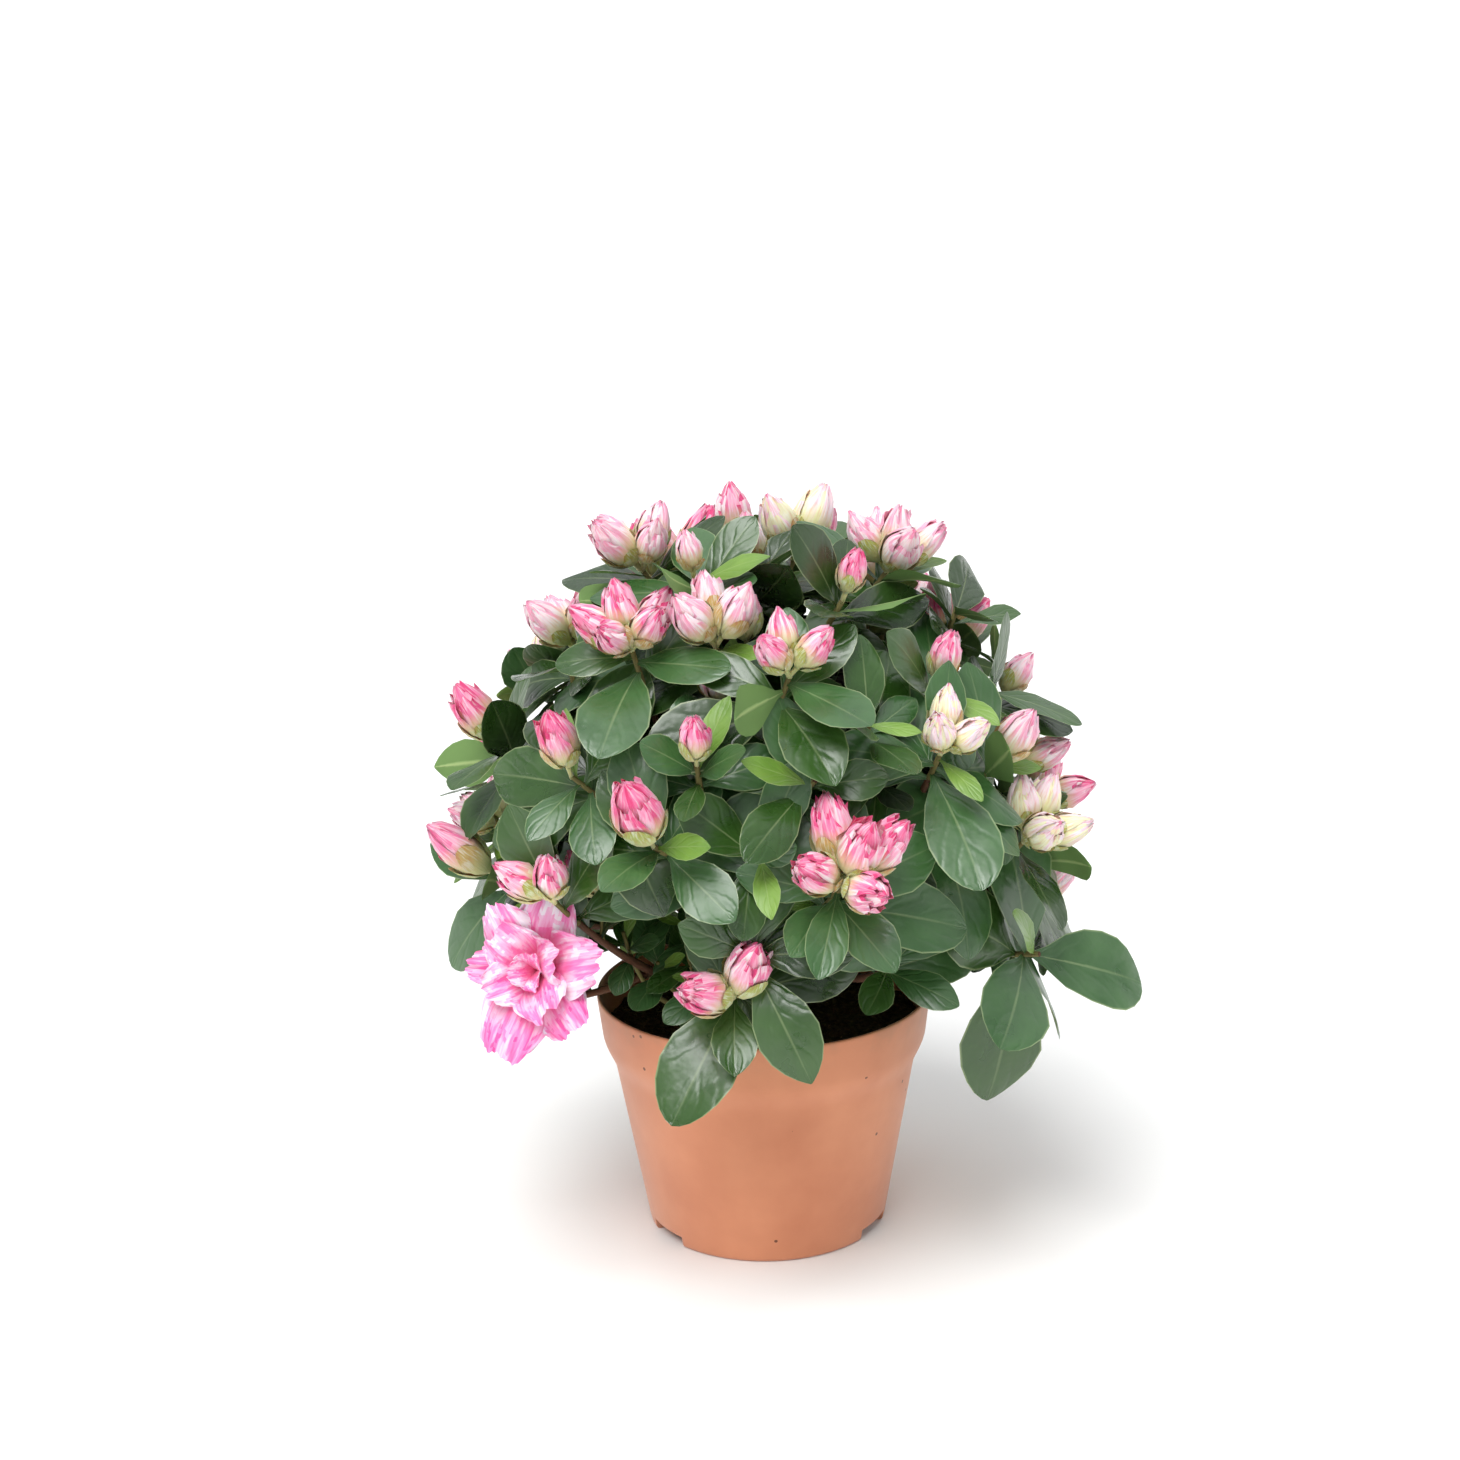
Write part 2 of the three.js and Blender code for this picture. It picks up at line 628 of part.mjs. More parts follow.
// The close twigs and old leaves inside a dense mass, as one low rounded pad about its stem's end.
function core(mass) {
  const geometry = bare(new THREE.IcosahedronGeometry(1, 1));
  geometry.scale(CORE_RADIUS, CORE_THICKNESS / 2, CORE_RADIUS);
  const turn = new THREE.Quaternion().setFromUnitVectors(new THREE.Vector3(0, 1, 0), mass.heading);
  geometry.applyQuaternion(turn);
  geometry.translate(mass.stemEnd.x, mass.stemEnd.y, mass.stemEnd.z);
  return withinCell(mass, solidOf(geometry));
}

function joined(shapes) {
  return shapes.map(solidOf).reduce((whole, shape) => whole.add(shape));
}

function foliage(mass) {
  const stem = new THREE.LineCurve3(mass.stemStart, mass.stemEnd);
  const sprays = mass.sprays.filter((spray) => {
    const radiusAt = (share) => along([TWIG_ROOT_RADIUS, TWIG_TIP_RADIUS], share);
    spray.twig = limb(twigCurve(mass, spray), radiusAt, TWIG_SIDES, TWIG_STEPS);
    return fits(mass, spray.twig);
  });
  const blossom = sprays.flatMap((spray) => [
    ...budsOf(mass, spray),
    ...(spray.flower ? whorlsOf(spray) : []),
  ]);
  const stemShape = limb(stem, () => STEM_RADIUS, BOUGH_SIDES, 1);
  let woody = joined([stemShape, ...sprays.map((spray) => spray.twig), ...blossom]);
  if (mass.dense) woody = woody.add(core(mass));
  const grown = { solid: woody };
  const leaves = sprays.flatMap((spray) => leavesOf(mass, spray, grown));
  if (mass.dense) leaves.push(...coreLeavesOf(mass, grown));
  return mainBody(leaves.length ? woody.add(joined(leaves)) : woody);
}

// Pot and soil
function ringBlock(innerRadius, outerRadius, bottom, top, halfAngle, azimuth) {
  const turn = THREE.MathUtils.degToRad(azimuth - 90);
  const half = THREE.MathUtils.degToRad(halfAngle);
  const outline = new THREE.Shape();
  outline.absarc(0, 0, outerRadius, turn - half, turn + half, false);
  outline.absarc(0, 0, innerRadius, turn + half, turn - half, true);
  const settings = { depth: top - bottom, bevelEnabled: false, curveSegments: ARC_STEPS };
  const block = new THREE.ExtrudeGeometry(outline, settings);
  block.translate(0, 0, bottom);
  return solidOf(block);
}

function lathed(profile, sides) {
  const geometry = new THREE.LatheGeometry(profile.map((p) => new THREE.Vector2(...p)), sides);
  geometry.rotateX(Math.PI / 2);
  return solidOf(geometry);
}

const OUTER_PROFILE = [
  [0, 0],
  [FOOT_RADIUS - FOOT_EDGE, 0],
  [FOOT_RADIUS, FOOT_EDGE],
  [SHOULDER_RADIUS, SHOULDER_HEIGHT],
  [COLLAR_FOOT_RADIUS - COLLAR_TUCK[0], COLLAR_FOOT_HEIGHT - COLLAR_TUCK[1]],
  [COLLAR_FOOT_RADIUS, COLLAR_FOOT_HEIGHT],
  [RIM_RADIUS - RIM_DRAFT, POT_HEIGHT - LIP],
  [RIM_RADIUS - LIP, POT_HEIGHT],
];
const INNER_PROFILE = [
  [RIM_RADIUS - POT_WALL - RIM_DRAFT, POT_HEIGHT],
  [COLLAR_FOOT_RADIUS - POT_WALL, COLLAR_FOOT_HEIGHT],
  [SHOULDER_RADIUS - POT_WALL, SHOULDER_HEIGHT],
  [FOOT_RADIUS - POT_WALL, POT_FLOOR + FOOT_EDGE],
  [FOOT_RADIUS - POT_WALL - FOOT_EDGE, POT_FLOOR],
  [0, POT_FLOOR],
];

const drainBlock = (azimuth, growth) =>
  ringBlock(
    DRAIN_INNER_RADIUS - POT_WALL - growth,
    FOOT_RADIUS - POT_WALL / 2 + growth,
    POT_FLOOR / 2,
    DRAIN_HEIGHT + POT_WALL + growth,
    DRAIN_HALF_ANGLE + DRAIN_CHEEK + growth / 2,
    azimuth,
  );
const drainRecess = (azimuth) =>
  ringBlock(DRAIN_INNER_RADIUS, RIM_RADIUS, -POT_FLOOR, DRAIN_HEIGHT, DRAIN_HALF_ANGLE, azimuth);

function drainSlot(azimuth) {
  const [length, width] = DRAIN_SLOT;
  const slot = new THREE.BoxGeometry(length, width, 2 * DRAIN_HEIGHT);
  slot.translate(0, -(DRAIN_INNER_RADIUS + width), DRAIN_HEIGHT);
  slot.rotateZ(THREE.MathUtils.degToRad(azimuth));
  return solidOf(slot);
}

function pot() {
  let shell = lathed([...OUTER_PROFILE, ...INNER_PROFILE], POT_SIDES);
  for (const azimuth of DRAIN_AZIMUTHS) {
    shell = shell.add(drainBlock(azimuth, 0)).subtract(drainRecess(azimuth));
    shell = shell.subtract(drainSlot(azimuth));
  }
  return mainBody(shell);
}

function soil() {
  const collarShare = (SOIL_WALL_HEIGHT - COLLAR_FOOT_HEIGHT) / (POT_HEIGHT - COLLAR_FOOT_HEIGHT);
  const clear = POT_WALL + 1.5 * GAP;
  const profile = [
    [0, POT_FLOOR + GAP],
    [FOOT_RADIUS - clear - FOOT_EDGE, POT_FLOOR + GAP],
    [FOOT_RADIUS - clear, POT_FLOOR + GAP + FOOT_EDGE],
    [SHOULDER_RADIUS - clear, SHOULDER_HEIGHT],
    [COLLAR_FOOT_RADIUS - clear - SOIL_DRAFT, COLLAR_FOOT_HEIGHT],
    [along([COLLAR_FOOT_RADIUS, RIM_RADIUS], collarShare) - clear - SOIL_DRAFT, SOIL_WALL_HEIGHT],
    [SOIL_FLAT_RADIUS, SOIL_TOP],
    [0, SOIL_TOP],
  ];
  let fill = lathed(profile, POT_SIDES);
  for (const azimuth of DRAIN_AZIMUTHS) fill = fill.subtract(drainBlock(azimuth, GAP));
  return mainBody(fill);
}

// Materials
const plastic = { color: 0xd08c6c, roughness: 0.55, metalness: 0 };
const peat = { color: 0x2a201b, roughness: 1, metalness: 0 };
const bark = { color: 0x6b4c37, roughness: 0.9, metalness: 0 };
const leafGreen = { color: 0x3c5f3f, roughness: 0.5, metalness: 0 };

const group = new THREE.Group();
function addPiece(name, geometry, material) {
  const piece = new THREE.Mesh(geometry, new THREE.MeshStandardMaterial(material));
  piece.name = name;
  group.add(piece);
}

addPiece('pot', pot(), plastic);
addPiece('soil', soil(), peat);
addPiece('trunk', trunk(), bark);
for (const mass of MASSES) addPiece(mass.name.replace('mass', 'bough'), bough(mass), bark);
for (const mass of MASSES) addPiece(mass.name, foliage(mass), leafGreen);

export default group;
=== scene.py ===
import math

import bpy
import numpy as np
from mathutils import Matrix


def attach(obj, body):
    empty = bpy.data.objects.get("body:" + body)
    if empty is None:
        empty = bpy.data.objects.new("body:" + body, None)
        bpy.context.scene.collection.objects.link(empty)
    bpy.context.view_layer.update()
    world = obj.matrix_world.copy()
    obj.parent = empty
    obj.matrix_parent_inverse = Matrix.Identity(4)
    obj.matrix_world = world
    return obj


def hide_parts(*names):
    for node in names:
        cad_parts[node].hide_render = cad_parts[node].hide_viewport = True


# A florist's azalea in bud, in its thin plastic pot. Lengths are in millimetres until a mesh is
# made, heights are above the pot's flat underside, and azimuths are degrees from the front,
# positive to the right.
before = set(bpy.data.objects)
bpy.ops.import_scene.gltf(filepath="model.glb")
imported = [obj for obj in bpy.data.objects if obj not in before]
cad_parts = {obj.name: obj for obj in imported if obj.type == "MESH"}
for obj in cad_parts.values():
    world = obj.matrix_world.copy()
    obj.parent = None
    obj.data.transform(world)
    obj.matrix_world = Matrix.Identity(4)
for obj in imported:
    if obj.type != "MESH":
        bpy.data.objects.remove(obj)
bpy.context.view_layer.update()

# Pot: a grower's thin pot, injection-moulded in terracotta-coloured polypropylene. Wall, collar,
# rolled lip and floor come out of one mould in one shot, with three drain recesses round the foot,
# each with one slot through its roof.
MM = 0.001
POT_HEIGHT = 95.0
RIM_RADIUS = 65.0
FOOT_RADIUS = 46.7
FOOT_CORNER = 1.6  # height of the rounded corner between the underside and the wall
SHOULDER = (58.8, 69.0)  # radius and height at which the plain wall ends
COLLAR_FOOT = (62.8, 77.0)  # radius and height from which the collar rises
COLLAR_SWELL = (66.2, 78.8)  # heights between which the wall widens into the collar
POT_FLOOR = 1.6
DRAIN_AZIMUTHS = (-58.0, 62.0, 182.0)
DRAIN_HALF_ANGLE = 12.0
DRAIN_INNER_RADIUS = 38.0
DRAIN_HEIGHT = 4.5
DRAIN_ROOF = 5.8  # height of the floor inside the pot above a recess
SLOT_HALF_ANGLE = 5.4
SLOT_RADII = (40.0, 44.0)
CHEEK_ANGLE = 0.3  # over which a recess's side wall rises
POT_COLUMNS = 168
# Heights of the wall's rows, close together where it swells into the collar.
WALL_HEIGHTS = (6, 7, 20, 40, 56, 64, 65.5, 67.2, 69, 70.8, 72.5, 74.2, 76, 77.8, 79.5, 81, 86, 93.4)
# Radius and height over the rolled lip, and down the inside.
LIP = ((64.8, 94.2), (64.65, 94.7), (64.3, 95.0), (63.85, 94.95), (63.55, 94.6), (63.4, 93.6))
INSIDE = ((61.5, 77.0), (57.5, 69.0), (46.3, 6.5))


def linear(colour):
    """sRGB hex to linear: c / 12.92 near black, and ((c + 0.055) / 1.055) to the power 2.4 above."""
    channels = [int(colour[i : i + 2], 16) / 255 for i in (1, 3, 5)]
    lit = [c / 12.92 if c <= 0.04045 else ((c + 0.055) / 1.055) ** 2.4 for c in channels]
    return (*lit, 1.0)


def add(tree, kind, inputs=(), **settings):
    """Adds a node. Each input is a value for a socket, or another node's output to link to it."""
    node = tree.nodes.new(kind)
    for name, value in settings.items():
        setattr(node, name, value)
    for socket, value in dict(inputs).items():
        if isinstance(value, bpy.types.NodeSocket):
            tree.links.new(value, node.inputs[socket])
        else:
            node.inputs[socket].default_value = value
    return node


def mixed(tree, share, first, second):
    """The output of a node that passes from the first colour to the second by a share."""
    colours = {0: share, 6: first, 7: second}
    return add(tree, "ShaderNodeMix", colours, data_type="RGBA").outputs[2]


def maths(tree, operation, *values):
    """The output of a node that works out one operation on numbers or other nodes' outputs."""
    return add(tree, "ShaderNodeMath", enumerate(values), operation=operation).outputs[0]


def noise(tree, place, scale, detail=2.0, **more):
    """The output of a noise node: scale is its waves to the unit, and detail its finer layers."""
    wants = {"Vector": place, "Scale": scale, "Detail": detail, **more}
    return add(tree, "ShaderNodeTexNoise", wants).outputs[0]


def ranged(tree, value, low, high, start=0.0, end=1.0, **settings):
    """The output of a node that goes from start to end while a value goes from low to high."""
    wants = enumerate((value, low, high, start, end))
    return add(tree, "ShaderNodeMapRange", wants, **settings).outputs[0]


def streaks(tree, own, crosswise, lengthwise, detail=4.0):
    """Noise drawn out along a piece: it reads the piece's own flat coordinates, scaled both ways."""
    scaled = add(tree, "ShaderNodeMapping", {"Vector": own, "Scale": (crosswise, lengthwise, 1.0)})
    return noise(tree, scaled.outputs[0], 1.0, detail)


def roughen(tree, shader, height, strength, distance):
    """Relief finer than the mesh: a bump node reads the height and turns the shader's normal."""
    bump = add(tree, "ShaderNodeBump", {"Strength": strength, "Distance": distance, "Height": height})
    tree.links.new(bump.outputs[0], shader.inputs["Normal"])


def finish_of(name, **constants):
    """A new material, its node tree and its shader, with the numbers that are the same all over."""
    material = bpy.data.materials.new(name)
    material.use_nodes = True
    shader = material.node_tree.nodes["Principled BSDF"]
    for socket, value in constants.items():
        shader.inputs[socket.replace("_", " ")].default_value = value
    return material, material.node_tree, shader


def stand(name, data):
    """A new object that shows a mesh, light or camera, put in the scene."""
    holder = bpy.data.objects.new(name, data)
    bpy.context.scene.collection.objects.link(holder)
    return holder


def new_piece(name, stands_for, points, faces, materials, finish=None, uv=None, sharp=None):
    """Points (n, 3) in mm and blocks of faces (m, corners) become a mesh that rides on the root.
    finish gives a material's number for each face, uv a pair for each point, and sharp the points
    whose shared edges aren't smoothed."""
    mesh = bpy.data.meshes.new(name)
    corners = np.concatenate([block.ravel() for block in faces]).astype(np.int32)
    sizes = np.concatenate([np.full(len(block), block.shape[1]) for block in faces])
    starts = np.concatenate([[0], np.cumsum(sizes)[:-1]]).astype(np.int32)
    mesh.vertices.add(len(points))
    mesh.vertices.foreach_set("co", (points * MM).astype(np.float32).ravel())
    mesh.loops.add(len(corners))
    mesh.loops.foreach_set("vertex_index", corners)
    mesh.polygons.add(len(sizes))
    mesh.polygons.foreach_set("loop_start", starts)
    mesh.polygons.foreach_set("use_smooth", np.ones(len(sizes), bool))
    if finish is not None:
        mesh.polygons.foreach_set("material_index", finish.astype(np.int32))
    if uv is not None:
        layer = mesh.uv_layers.new(name="UVMap")
        layer.data.foreach_set("uv", uv[corners].astype(np.float32).ravel())
    for material in materials:
        mesh.materials.append(material)
    mesh.update(calc_edges=True)
    if sharp is not None:
        ends = np.empty(len(mesh.edges) * 2, np.int32)
        mesh.edges.foreach_get("vertices", ends)
        mesh.edges.foreach_set("use_edge_sharp", sharp[ends].reshape(-1, 2).all(1))
    mesh.validate()
    piece = stand(name, mesh)
    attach(piece, "root")
    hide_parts(*stands_for)


def lattice(rows, columns, round_trip):
    """Quads between the points of a grid that is stored row by row. On a round trip the last
    column joins the first."""
    row = np.arange(rows - 1)[:, None] * columns
    column = np.arange(columns if round_trip else columns - 1)[None, :]
    after = (column + 1) % columns
    quads = np.stack([row + column, row + after, row + columns + after, row + columns + column], -1)
    return quads.reshape(-1, 4)


def polar(azimuth, radius, height):
    """A point at an azimuth: radius times its sine to the right, and its cosine to the front."""
    turn = np.radians(azimuth)
    return np.stack([radius * np.sin(turn), -radius * np.cos(turn), height + 0 * turn], -1)


def pot_wall_radius(z):
    """The wall's and the collar's straight tapers, joined by a smooth step: 3 s^2 - 2 s^3."""
    wall = FOOT_RADIUS + (SHOULDER[0] - FOOT_RADIUS) * (z - FOOT_CORNER) / (SHOULDER[1] - FOOT_CORNER)
    collar_height = POT_HEIGHT - COLLAR_FOOT[1]
    collar = COLLAR_FOOT[0] + (RIM_RADIUS - COLLAR_FOOT[0]) * (z - COLLAR_FOOT[1]) / collar_height
    s = np.clip((z - COLLAR_SWELL[0]) / (COLLAR_SWELL[1] - COLLAR_SWELL[0]), 0, 1)
    s = s * s * (3 - 2 * s)
    return wall + (collar - wall) * s


# Each row is radius and height on the plain wall, then radius and height inside a recess. They
# go outward on the underside, up the wall, over the rolled lip and down the inside to the floor.
plain_rows = [*((pot_wall_radius(z), z) for z in WALL_HEIGHTS), *LIP, *INSIDE]
pot_rows = np.array(
    [
        (20, 0, 20, 0),
        (37, 0, 37, 0),
        (37.9, 0, 37.9, 0),
        (38.1, 0, DRAIN_INNER_RADIUS, 0.3),
        (38.3, 0, DRAIN_INNER_RADIUS, DRAIN_HEIGHT),
        (SLOT_RADII[0], 0, SLOT_RADII[0], DRAIN_HEIGHT),
        (SLOT_RADII[1], 0, SLOT_RADII[1], DRAIN_HEIGHT),
        (45.1, 0, 46.4, DRAIN_HEIGHT),
        (45.9, 0.25, 46.9, DRAIN_HEIGHT),
        (46.45, 0.8, 47.15, DRAIN_HEIGHT + 0.1),
        (FOOT_RADIUS, FOOT_CORNER, 47.25, DRAIN_HEIGHT + 0.35),
        *(row * 2 for row in plain_rows),
        (46.0, 5.0, 46.0, 5.9),
        (45.4, 3.2, SLOT_RADII[1], DRAIN_ROOF),
        (43.8, POT_FLOOR, SLOT_RADII[0], DRAIN_ROOF),
        (40, POT_FLOOR, 36.7, DRAIN_ROOF),
        (36.5, POT_FLOOR, 36.6, POT_FLOOR + 0.1),
        (20, POT_FLOOR, 20, POT_FLOOR),
    ]
)
even = np.arange(POT_COLUMNS) * 360 / POT_COLUMNS - 180
cheeks = [
    azimuth + side * (DRAIN_HALF_ANGLE + step)
    for azimuth in DRAIN_AZIMUTHS
    for side in (-1, 1)
    for step in (0, CHEEK_ANGLE)
]
slot_ends = [azimuth + side * SLOT_HALF_ANGLE for azimuth in DRAIN_AZIMUTHS for side in (-1, 1)]
columns = np.unique(np.round((np.concatenate([even, cheeks, slot_ends]) + 180) % 360 - 180, 4))
off = np.abs((columns[:, None] - np.array(DRAIN_AZIMUTHS) + 180) % 360 - 180).min(1)
recessed = (off <= DRAIN_HALF_ANGLE + 0.001)[None, :]
pot_radius = np.where(recessed, pot_rows[:, 2:3], pot_rows[:, 0:1])
pot_height = np.where(recessed, pot_rows[:, 3:4], pot_rows[:, 1:2])
pot_points = polar(columns[None, :] + 0 * pot_radius, pot_radius, pot_height).reshape(-1, 3)
count = len(columns)
pot_faces = lattice(len(pot_rows), count, True)
row_of = pot_faces[:, 0] // count
in_slot = (off <= SLOT_HALF_ANGLE + 0.001)[pot_faces[:, :2] % count].all(1)
# The rows that a slot's inner edge follows, under the recess's roof and on it. The faces between
# them and the next row are left out over a slot's width, and its four walls join the two openings.
LOWER_ROW, UPPER_ROW = 5, len(pot_rows) - 4
through = in_slot & ((row_of == LOWER_ROW) | (row_of == UPPER_ROW - 1))
left = np.flatnonzero(in_slot & (row_of == LOWER_ROW))
near, far = pot_faces[left][:, [0, 1]], pot_faces[left][:, [3, 2]]
rise = (UPPER_ROW - LOWER_ROW) * count
drop = (UPPER_ROW - 2 - LOWER_ROW) * count
near_wall = np.concatenate([near, near[:, ::-1] + rise], 1)
far_wall = np.concatenate([far[:, ::-1], far + drop], 1)
lone = np.array([i for i in near.ravel() if (near.ravel() == i).sum() == 1])
starts_slot = np.isin(lone, near[:, 0])
end_wall = np.stack([lone, lone + rise, lone + drop + count, lone + count], 1)
end_wall = np.where(starts_slot[:, None], end_wall, end_wall[:, ::-1])
caps = np.stack([np.arange(count)[::-1], np.arange(count) + (len(pot_rows) - 1) * count])
pot_blocks = [pot_faces[~through], near_wall, far_wall, end_wall, caps]

# Polypropylene straight from the mould: satin, with a chalky bloom at a glancing angle, a little
# uneven in its colour, peppered with a few dark specks of regrind and dusted by peat near the rim.
TERRACOTTA = "#D58C66"
TERRACOTTA_SHADE = "#C67C58"
SPECK = "#6E4028"
DUST = "#A97B5E"
plastic, tree, shader = finish_of(
    "moulded_polypropylene", Sheen_Weight=0.25, Sheen_Roughness=0.5, Specular_IOR_Level=0.35
)
place = add(tree, "ShaderNodeTexCoord").outputs["Object"]
cloud = noise(tree, place, 28.0, 4.0)
body = mixed(tree, ranged(tree, cloud, 0.35, 0.7), linear(TERRACOTTA), linear(TERRACOTTA_SHADE))
grit = add(tree, "ShaderNodeTexVoronoi", {"Vector": place, "Scale": 170.0})
is_rare = maths(tree, "GREATER_THAN", noise(tree, place, 60.0), 0.62)
is_dot = maths(tree, "LESS_THAN", grit.outputs["Distance"], 0.12)
specked = mixed(tree, maths(tree, "MULTIPLY", is_rare, is_dot), body, linear(SPECK))
split = add(tree, "ShaderNodeSeparateXYZ", {0: place})
near_rim = ranged(tree, split.outputs["Z"], 0.084, 0.0955, 0.0, 0.5)
patchy = ranged(tree, noise(tree, place, 95.0, 5.0), 0.5, 0.68)
dusty = maths(tree, "MULTIPLY", near_rim, patchy)
dusted = mixed(tree, dusty, specked, linear(DUST))
tree.links.new(dusted, shader.inputs["Base Color"])
satin = ranged(tree, cloud, 0.0, 1.0, 0.44, 0.58)
tree.links.new(satin, shader.inputs["Roughness"])
roughen(tree, shader, noise(tree, place, 900.0), 0.12, 0.0003)
new_piece("pot_shell", ["pot"], pot_points, pot_blocks, [plastic])

# Soil: dark fibrous peat, pressed in by hand and sunk a little by watering, so that its top is
# lumpy, lower against the pot's wall and heaped round the trunk's foot.
SOIL_TOP = 82.0
SOIL_EDGE = 80.3
FLARE_RADIUS = 9.0  # of the trunk's foot, up to which the soil is smoothed
SOIL_FLOOR = 7.0
SOIL_CLEARANCE = 0.5
SOIL_COLUMNS = 144
SOIL_RINGS = (0.6, 2, 4, 6, 8, 10, 12, 14, 16.5, 19, 22, 25, 28, 31, 34, 37, 40, 43, 46, 49, 52)
SOIL_EDGE_RINGS = (54.5, 56.8, 58.8, 60.2, 61.0)
# Radius and height down the soil's side and under it, just inside the pot.
SOIL_SIDE = (
    (61.2, 79.6),
    (60.9, 77.0),
    (57.0, 69.0),
    (46.2 - SOIL_CLEARANCE, SOIL_FLOOR),
    (20, SOIL_FLOOR),
)


def ripple(points, wavelength, seed, waves=9):
    """Smooth relief of about -1 to 1: the sum of sine waves of one length in random directions."""
    dice = np.random.default_rng(seed)
    headings = dice.normal(size=(waves, 3))
    headings *= 2 * np.pi / wavelength / np.linalg.norm(headings, axis=1, keepdims=True)
    phases = dice.uniform(0, 2 * np.pi, waves)
    return np.sin(points @ headings.T + phases).sum(-1) * math.sqrt(2 / waves) / 1.6


rings = np.array(SOIL_RINGS + SOIL_EDGE_RINGS)
top_height = SOIL_TOP - 0.3 - (SOIL_TOP - SOIL_EDGE) * np.clip((rings - 16) / 45, 0, 1)
soil_radius = np.concatenate([rings, [radius for radius, _ in SOIL_SIDE]])[:, None]
soil_height = np.concatenate([top_height, [z for _, z in SOIL_SIDE]])[:, None]
soil_azimuth = (np.arange(SOIL_COLUMNS) * 360 / SOIL_COLUMNS)[None, :]
soil_points = polar(soil_azimuth + 0 * soil_radius, soil_radius, soil_height)
lumps = 0.9 * ripple(soil_points, 11, 5) + 0.55 * ripple(soil_points, 5, 6)
lumps += 0.3 * ripple(soil_points, 2.6, 7)
on_top = np.arange(len(soil_radius)) < len(rings)
lumps = np.clip(lumps, -1.6, 1.3) * np.clip(soil_radius / FLARE_RADIUS, 0.2, 1)
soil_points[..., 2] += np.where(on_top[:, None], lumps, 0)
soil_points = soil_points.reshape(-1, 3)
soil_faces = lattice(len(soil_radius), SOIL_COLUMNS, True)[:, ::-1]
last = (len(soil_radius) - 1) * SOIL_COLUMNS
soil_caps = np.stack([np.arange(SOIL_COLUMNS), np.arange(SOIL_COLUMNS)[::-1] + last])

# Damp peat: nearly black, dull, crumbly at 1 to 4 mm, with a few paler fibres.
PEAT_DARK = "#33281F"
PEAT_CRUMB = "#624C3A"
FIBRE = "#8F7459"
peat, tree, shader = finish_of("damp_peat", Roughness=0.95, Specular_IOR_Level=0.25)
place = add(tree, "ShaderNodeTexCoord").outputs["Object"]
crumbs = noise(tree, place, 420.0, 6.0, Roughness=0.65)
ground = mixed(tree, ranged(tree, crumbs, 0.42, 0.68), linear(PEAT_DARK), linear(PEAT_CRUMB))
strands = noise(tree, place, 160.0, 3.0, Distortion=3.0)
fibrous = mixed(tree, ranged(tree, strands, 0.68, 0.74, 0.0, 0.8), ground, linear(FIBRE))
tree.links.new(fibrous, shader.inputs["Base Color"])
roughen(tree, shader, crumbs, 0.9, 0.0012)
new_piece("peat_fill", ["soil"], soil_points, [soil_faces, soil_caps], [peat])

# Plan of the crown: how the living plant is laid out, before any of it is made. One short trunk
# carries one bough for each mass of foliage, and each mass fans its twigs out to its sprays. The
# sprays that the eye finds first are placed by name, and a golden-angle spiral fills the rest.
CROWN_RADIUS = 104.0
CROWN_MIDDLE = 160.0
CROWN_RISE = 112.0
CROWN_DROP = 55.0
FORK = np.array([0.0, 0.0, 100.0])
STEM_START = 0.42  # share of a mass's reach at which its bough passes into its stem
STEM_END = 0.56
DENSE_STEM_END = 0.63
TWIG_SAG = 0.07
TWIG_ROOTS = 0.75  # share of a stem's length along which its twigs leave it
SPRAY_OUTWARD = 0.8  # weights of the way out and of the way up in a spray's axis
SPRAY_UP = 0.45
SPRAY_SPACING = 27.5
SPIRAL_SPRAYS = 112
SPIRAL_LOWEST = -34.0
SPIRAL_DEPTH = (0.93, 1.03)
SPIRAL_BUDS = 4
GOLDEN_ANGLE = 137.5

# Azimuth, latitude, number of buds, kind of bud, size of bud.
DOME_SPRAYS = (
    (-40, 48, 6, "striped", 1.0),
    (8, 44, 3, "striped", 1.0),
    (-44, 22, 1, "rose", 1.25),
    (-80, 20, 1, "rose", 1.2),
    (-76, -10, 1, "long", 1.2),
    (-46, -4, 2, "striped", 1.15),
    (-22, 12, 1, "rose", 1.35),
    (-14, 27, 1, "rose", 0.95),
    (15, 5, 5, "striped", 1.3),
    (42, 25, 3, "cream", 1.0),
    (68, 2, 4, "cream", 1.0),
    (36, 60, 1, "rose", 0.95),
    (-80, 66, 4, "pale", 1.1),
    (86, 62, 5, "pale", 1.1),
)
# Azimuth, radius, height, number of buds, kind of bud, size of bud, size of leaf.
SKIRT_SPRAYS = (
    (-8, 85, 123, 2, "striped", 1.4, 0.98),
    (32, 86, 130, 0, "rose", 1.0, 1.1),
    (65, 112, 123, 0, "rose", 1.0, 1.3),
    (98, 103, 122, 1, "pale", 1.0, 1.16),
    (133, 102, 112, 0, "rose", 1.0, 1.0),
    (171, 90, 119, 2, "striped", 1.2, 1.0),
    (-143, 101, 113, 1, "rose", 1.2, 1.0),
    (-101, 97, 119, 0, "rose", 1.0, 1.0),
)
OPEN_FLOWER = (-53, 95, 113)  # azimuth, radius and height of its spray
# Places that the spiral leaves open, and one where it sets no buds: from one azimuth to another,
# and below a height.
OPEN_PLACES = ((-42, -14, 165), (24, 50, 158))
BARE_FRONT = (-35, 14, 153)
KINDS = ("pale", "cream", "rose", "pale", "striped")


def unit(v):
    """A vector, or an array of them, divided by its length."""
    return v / np.linalg.norm(v, axis=-1, keepdims=True)


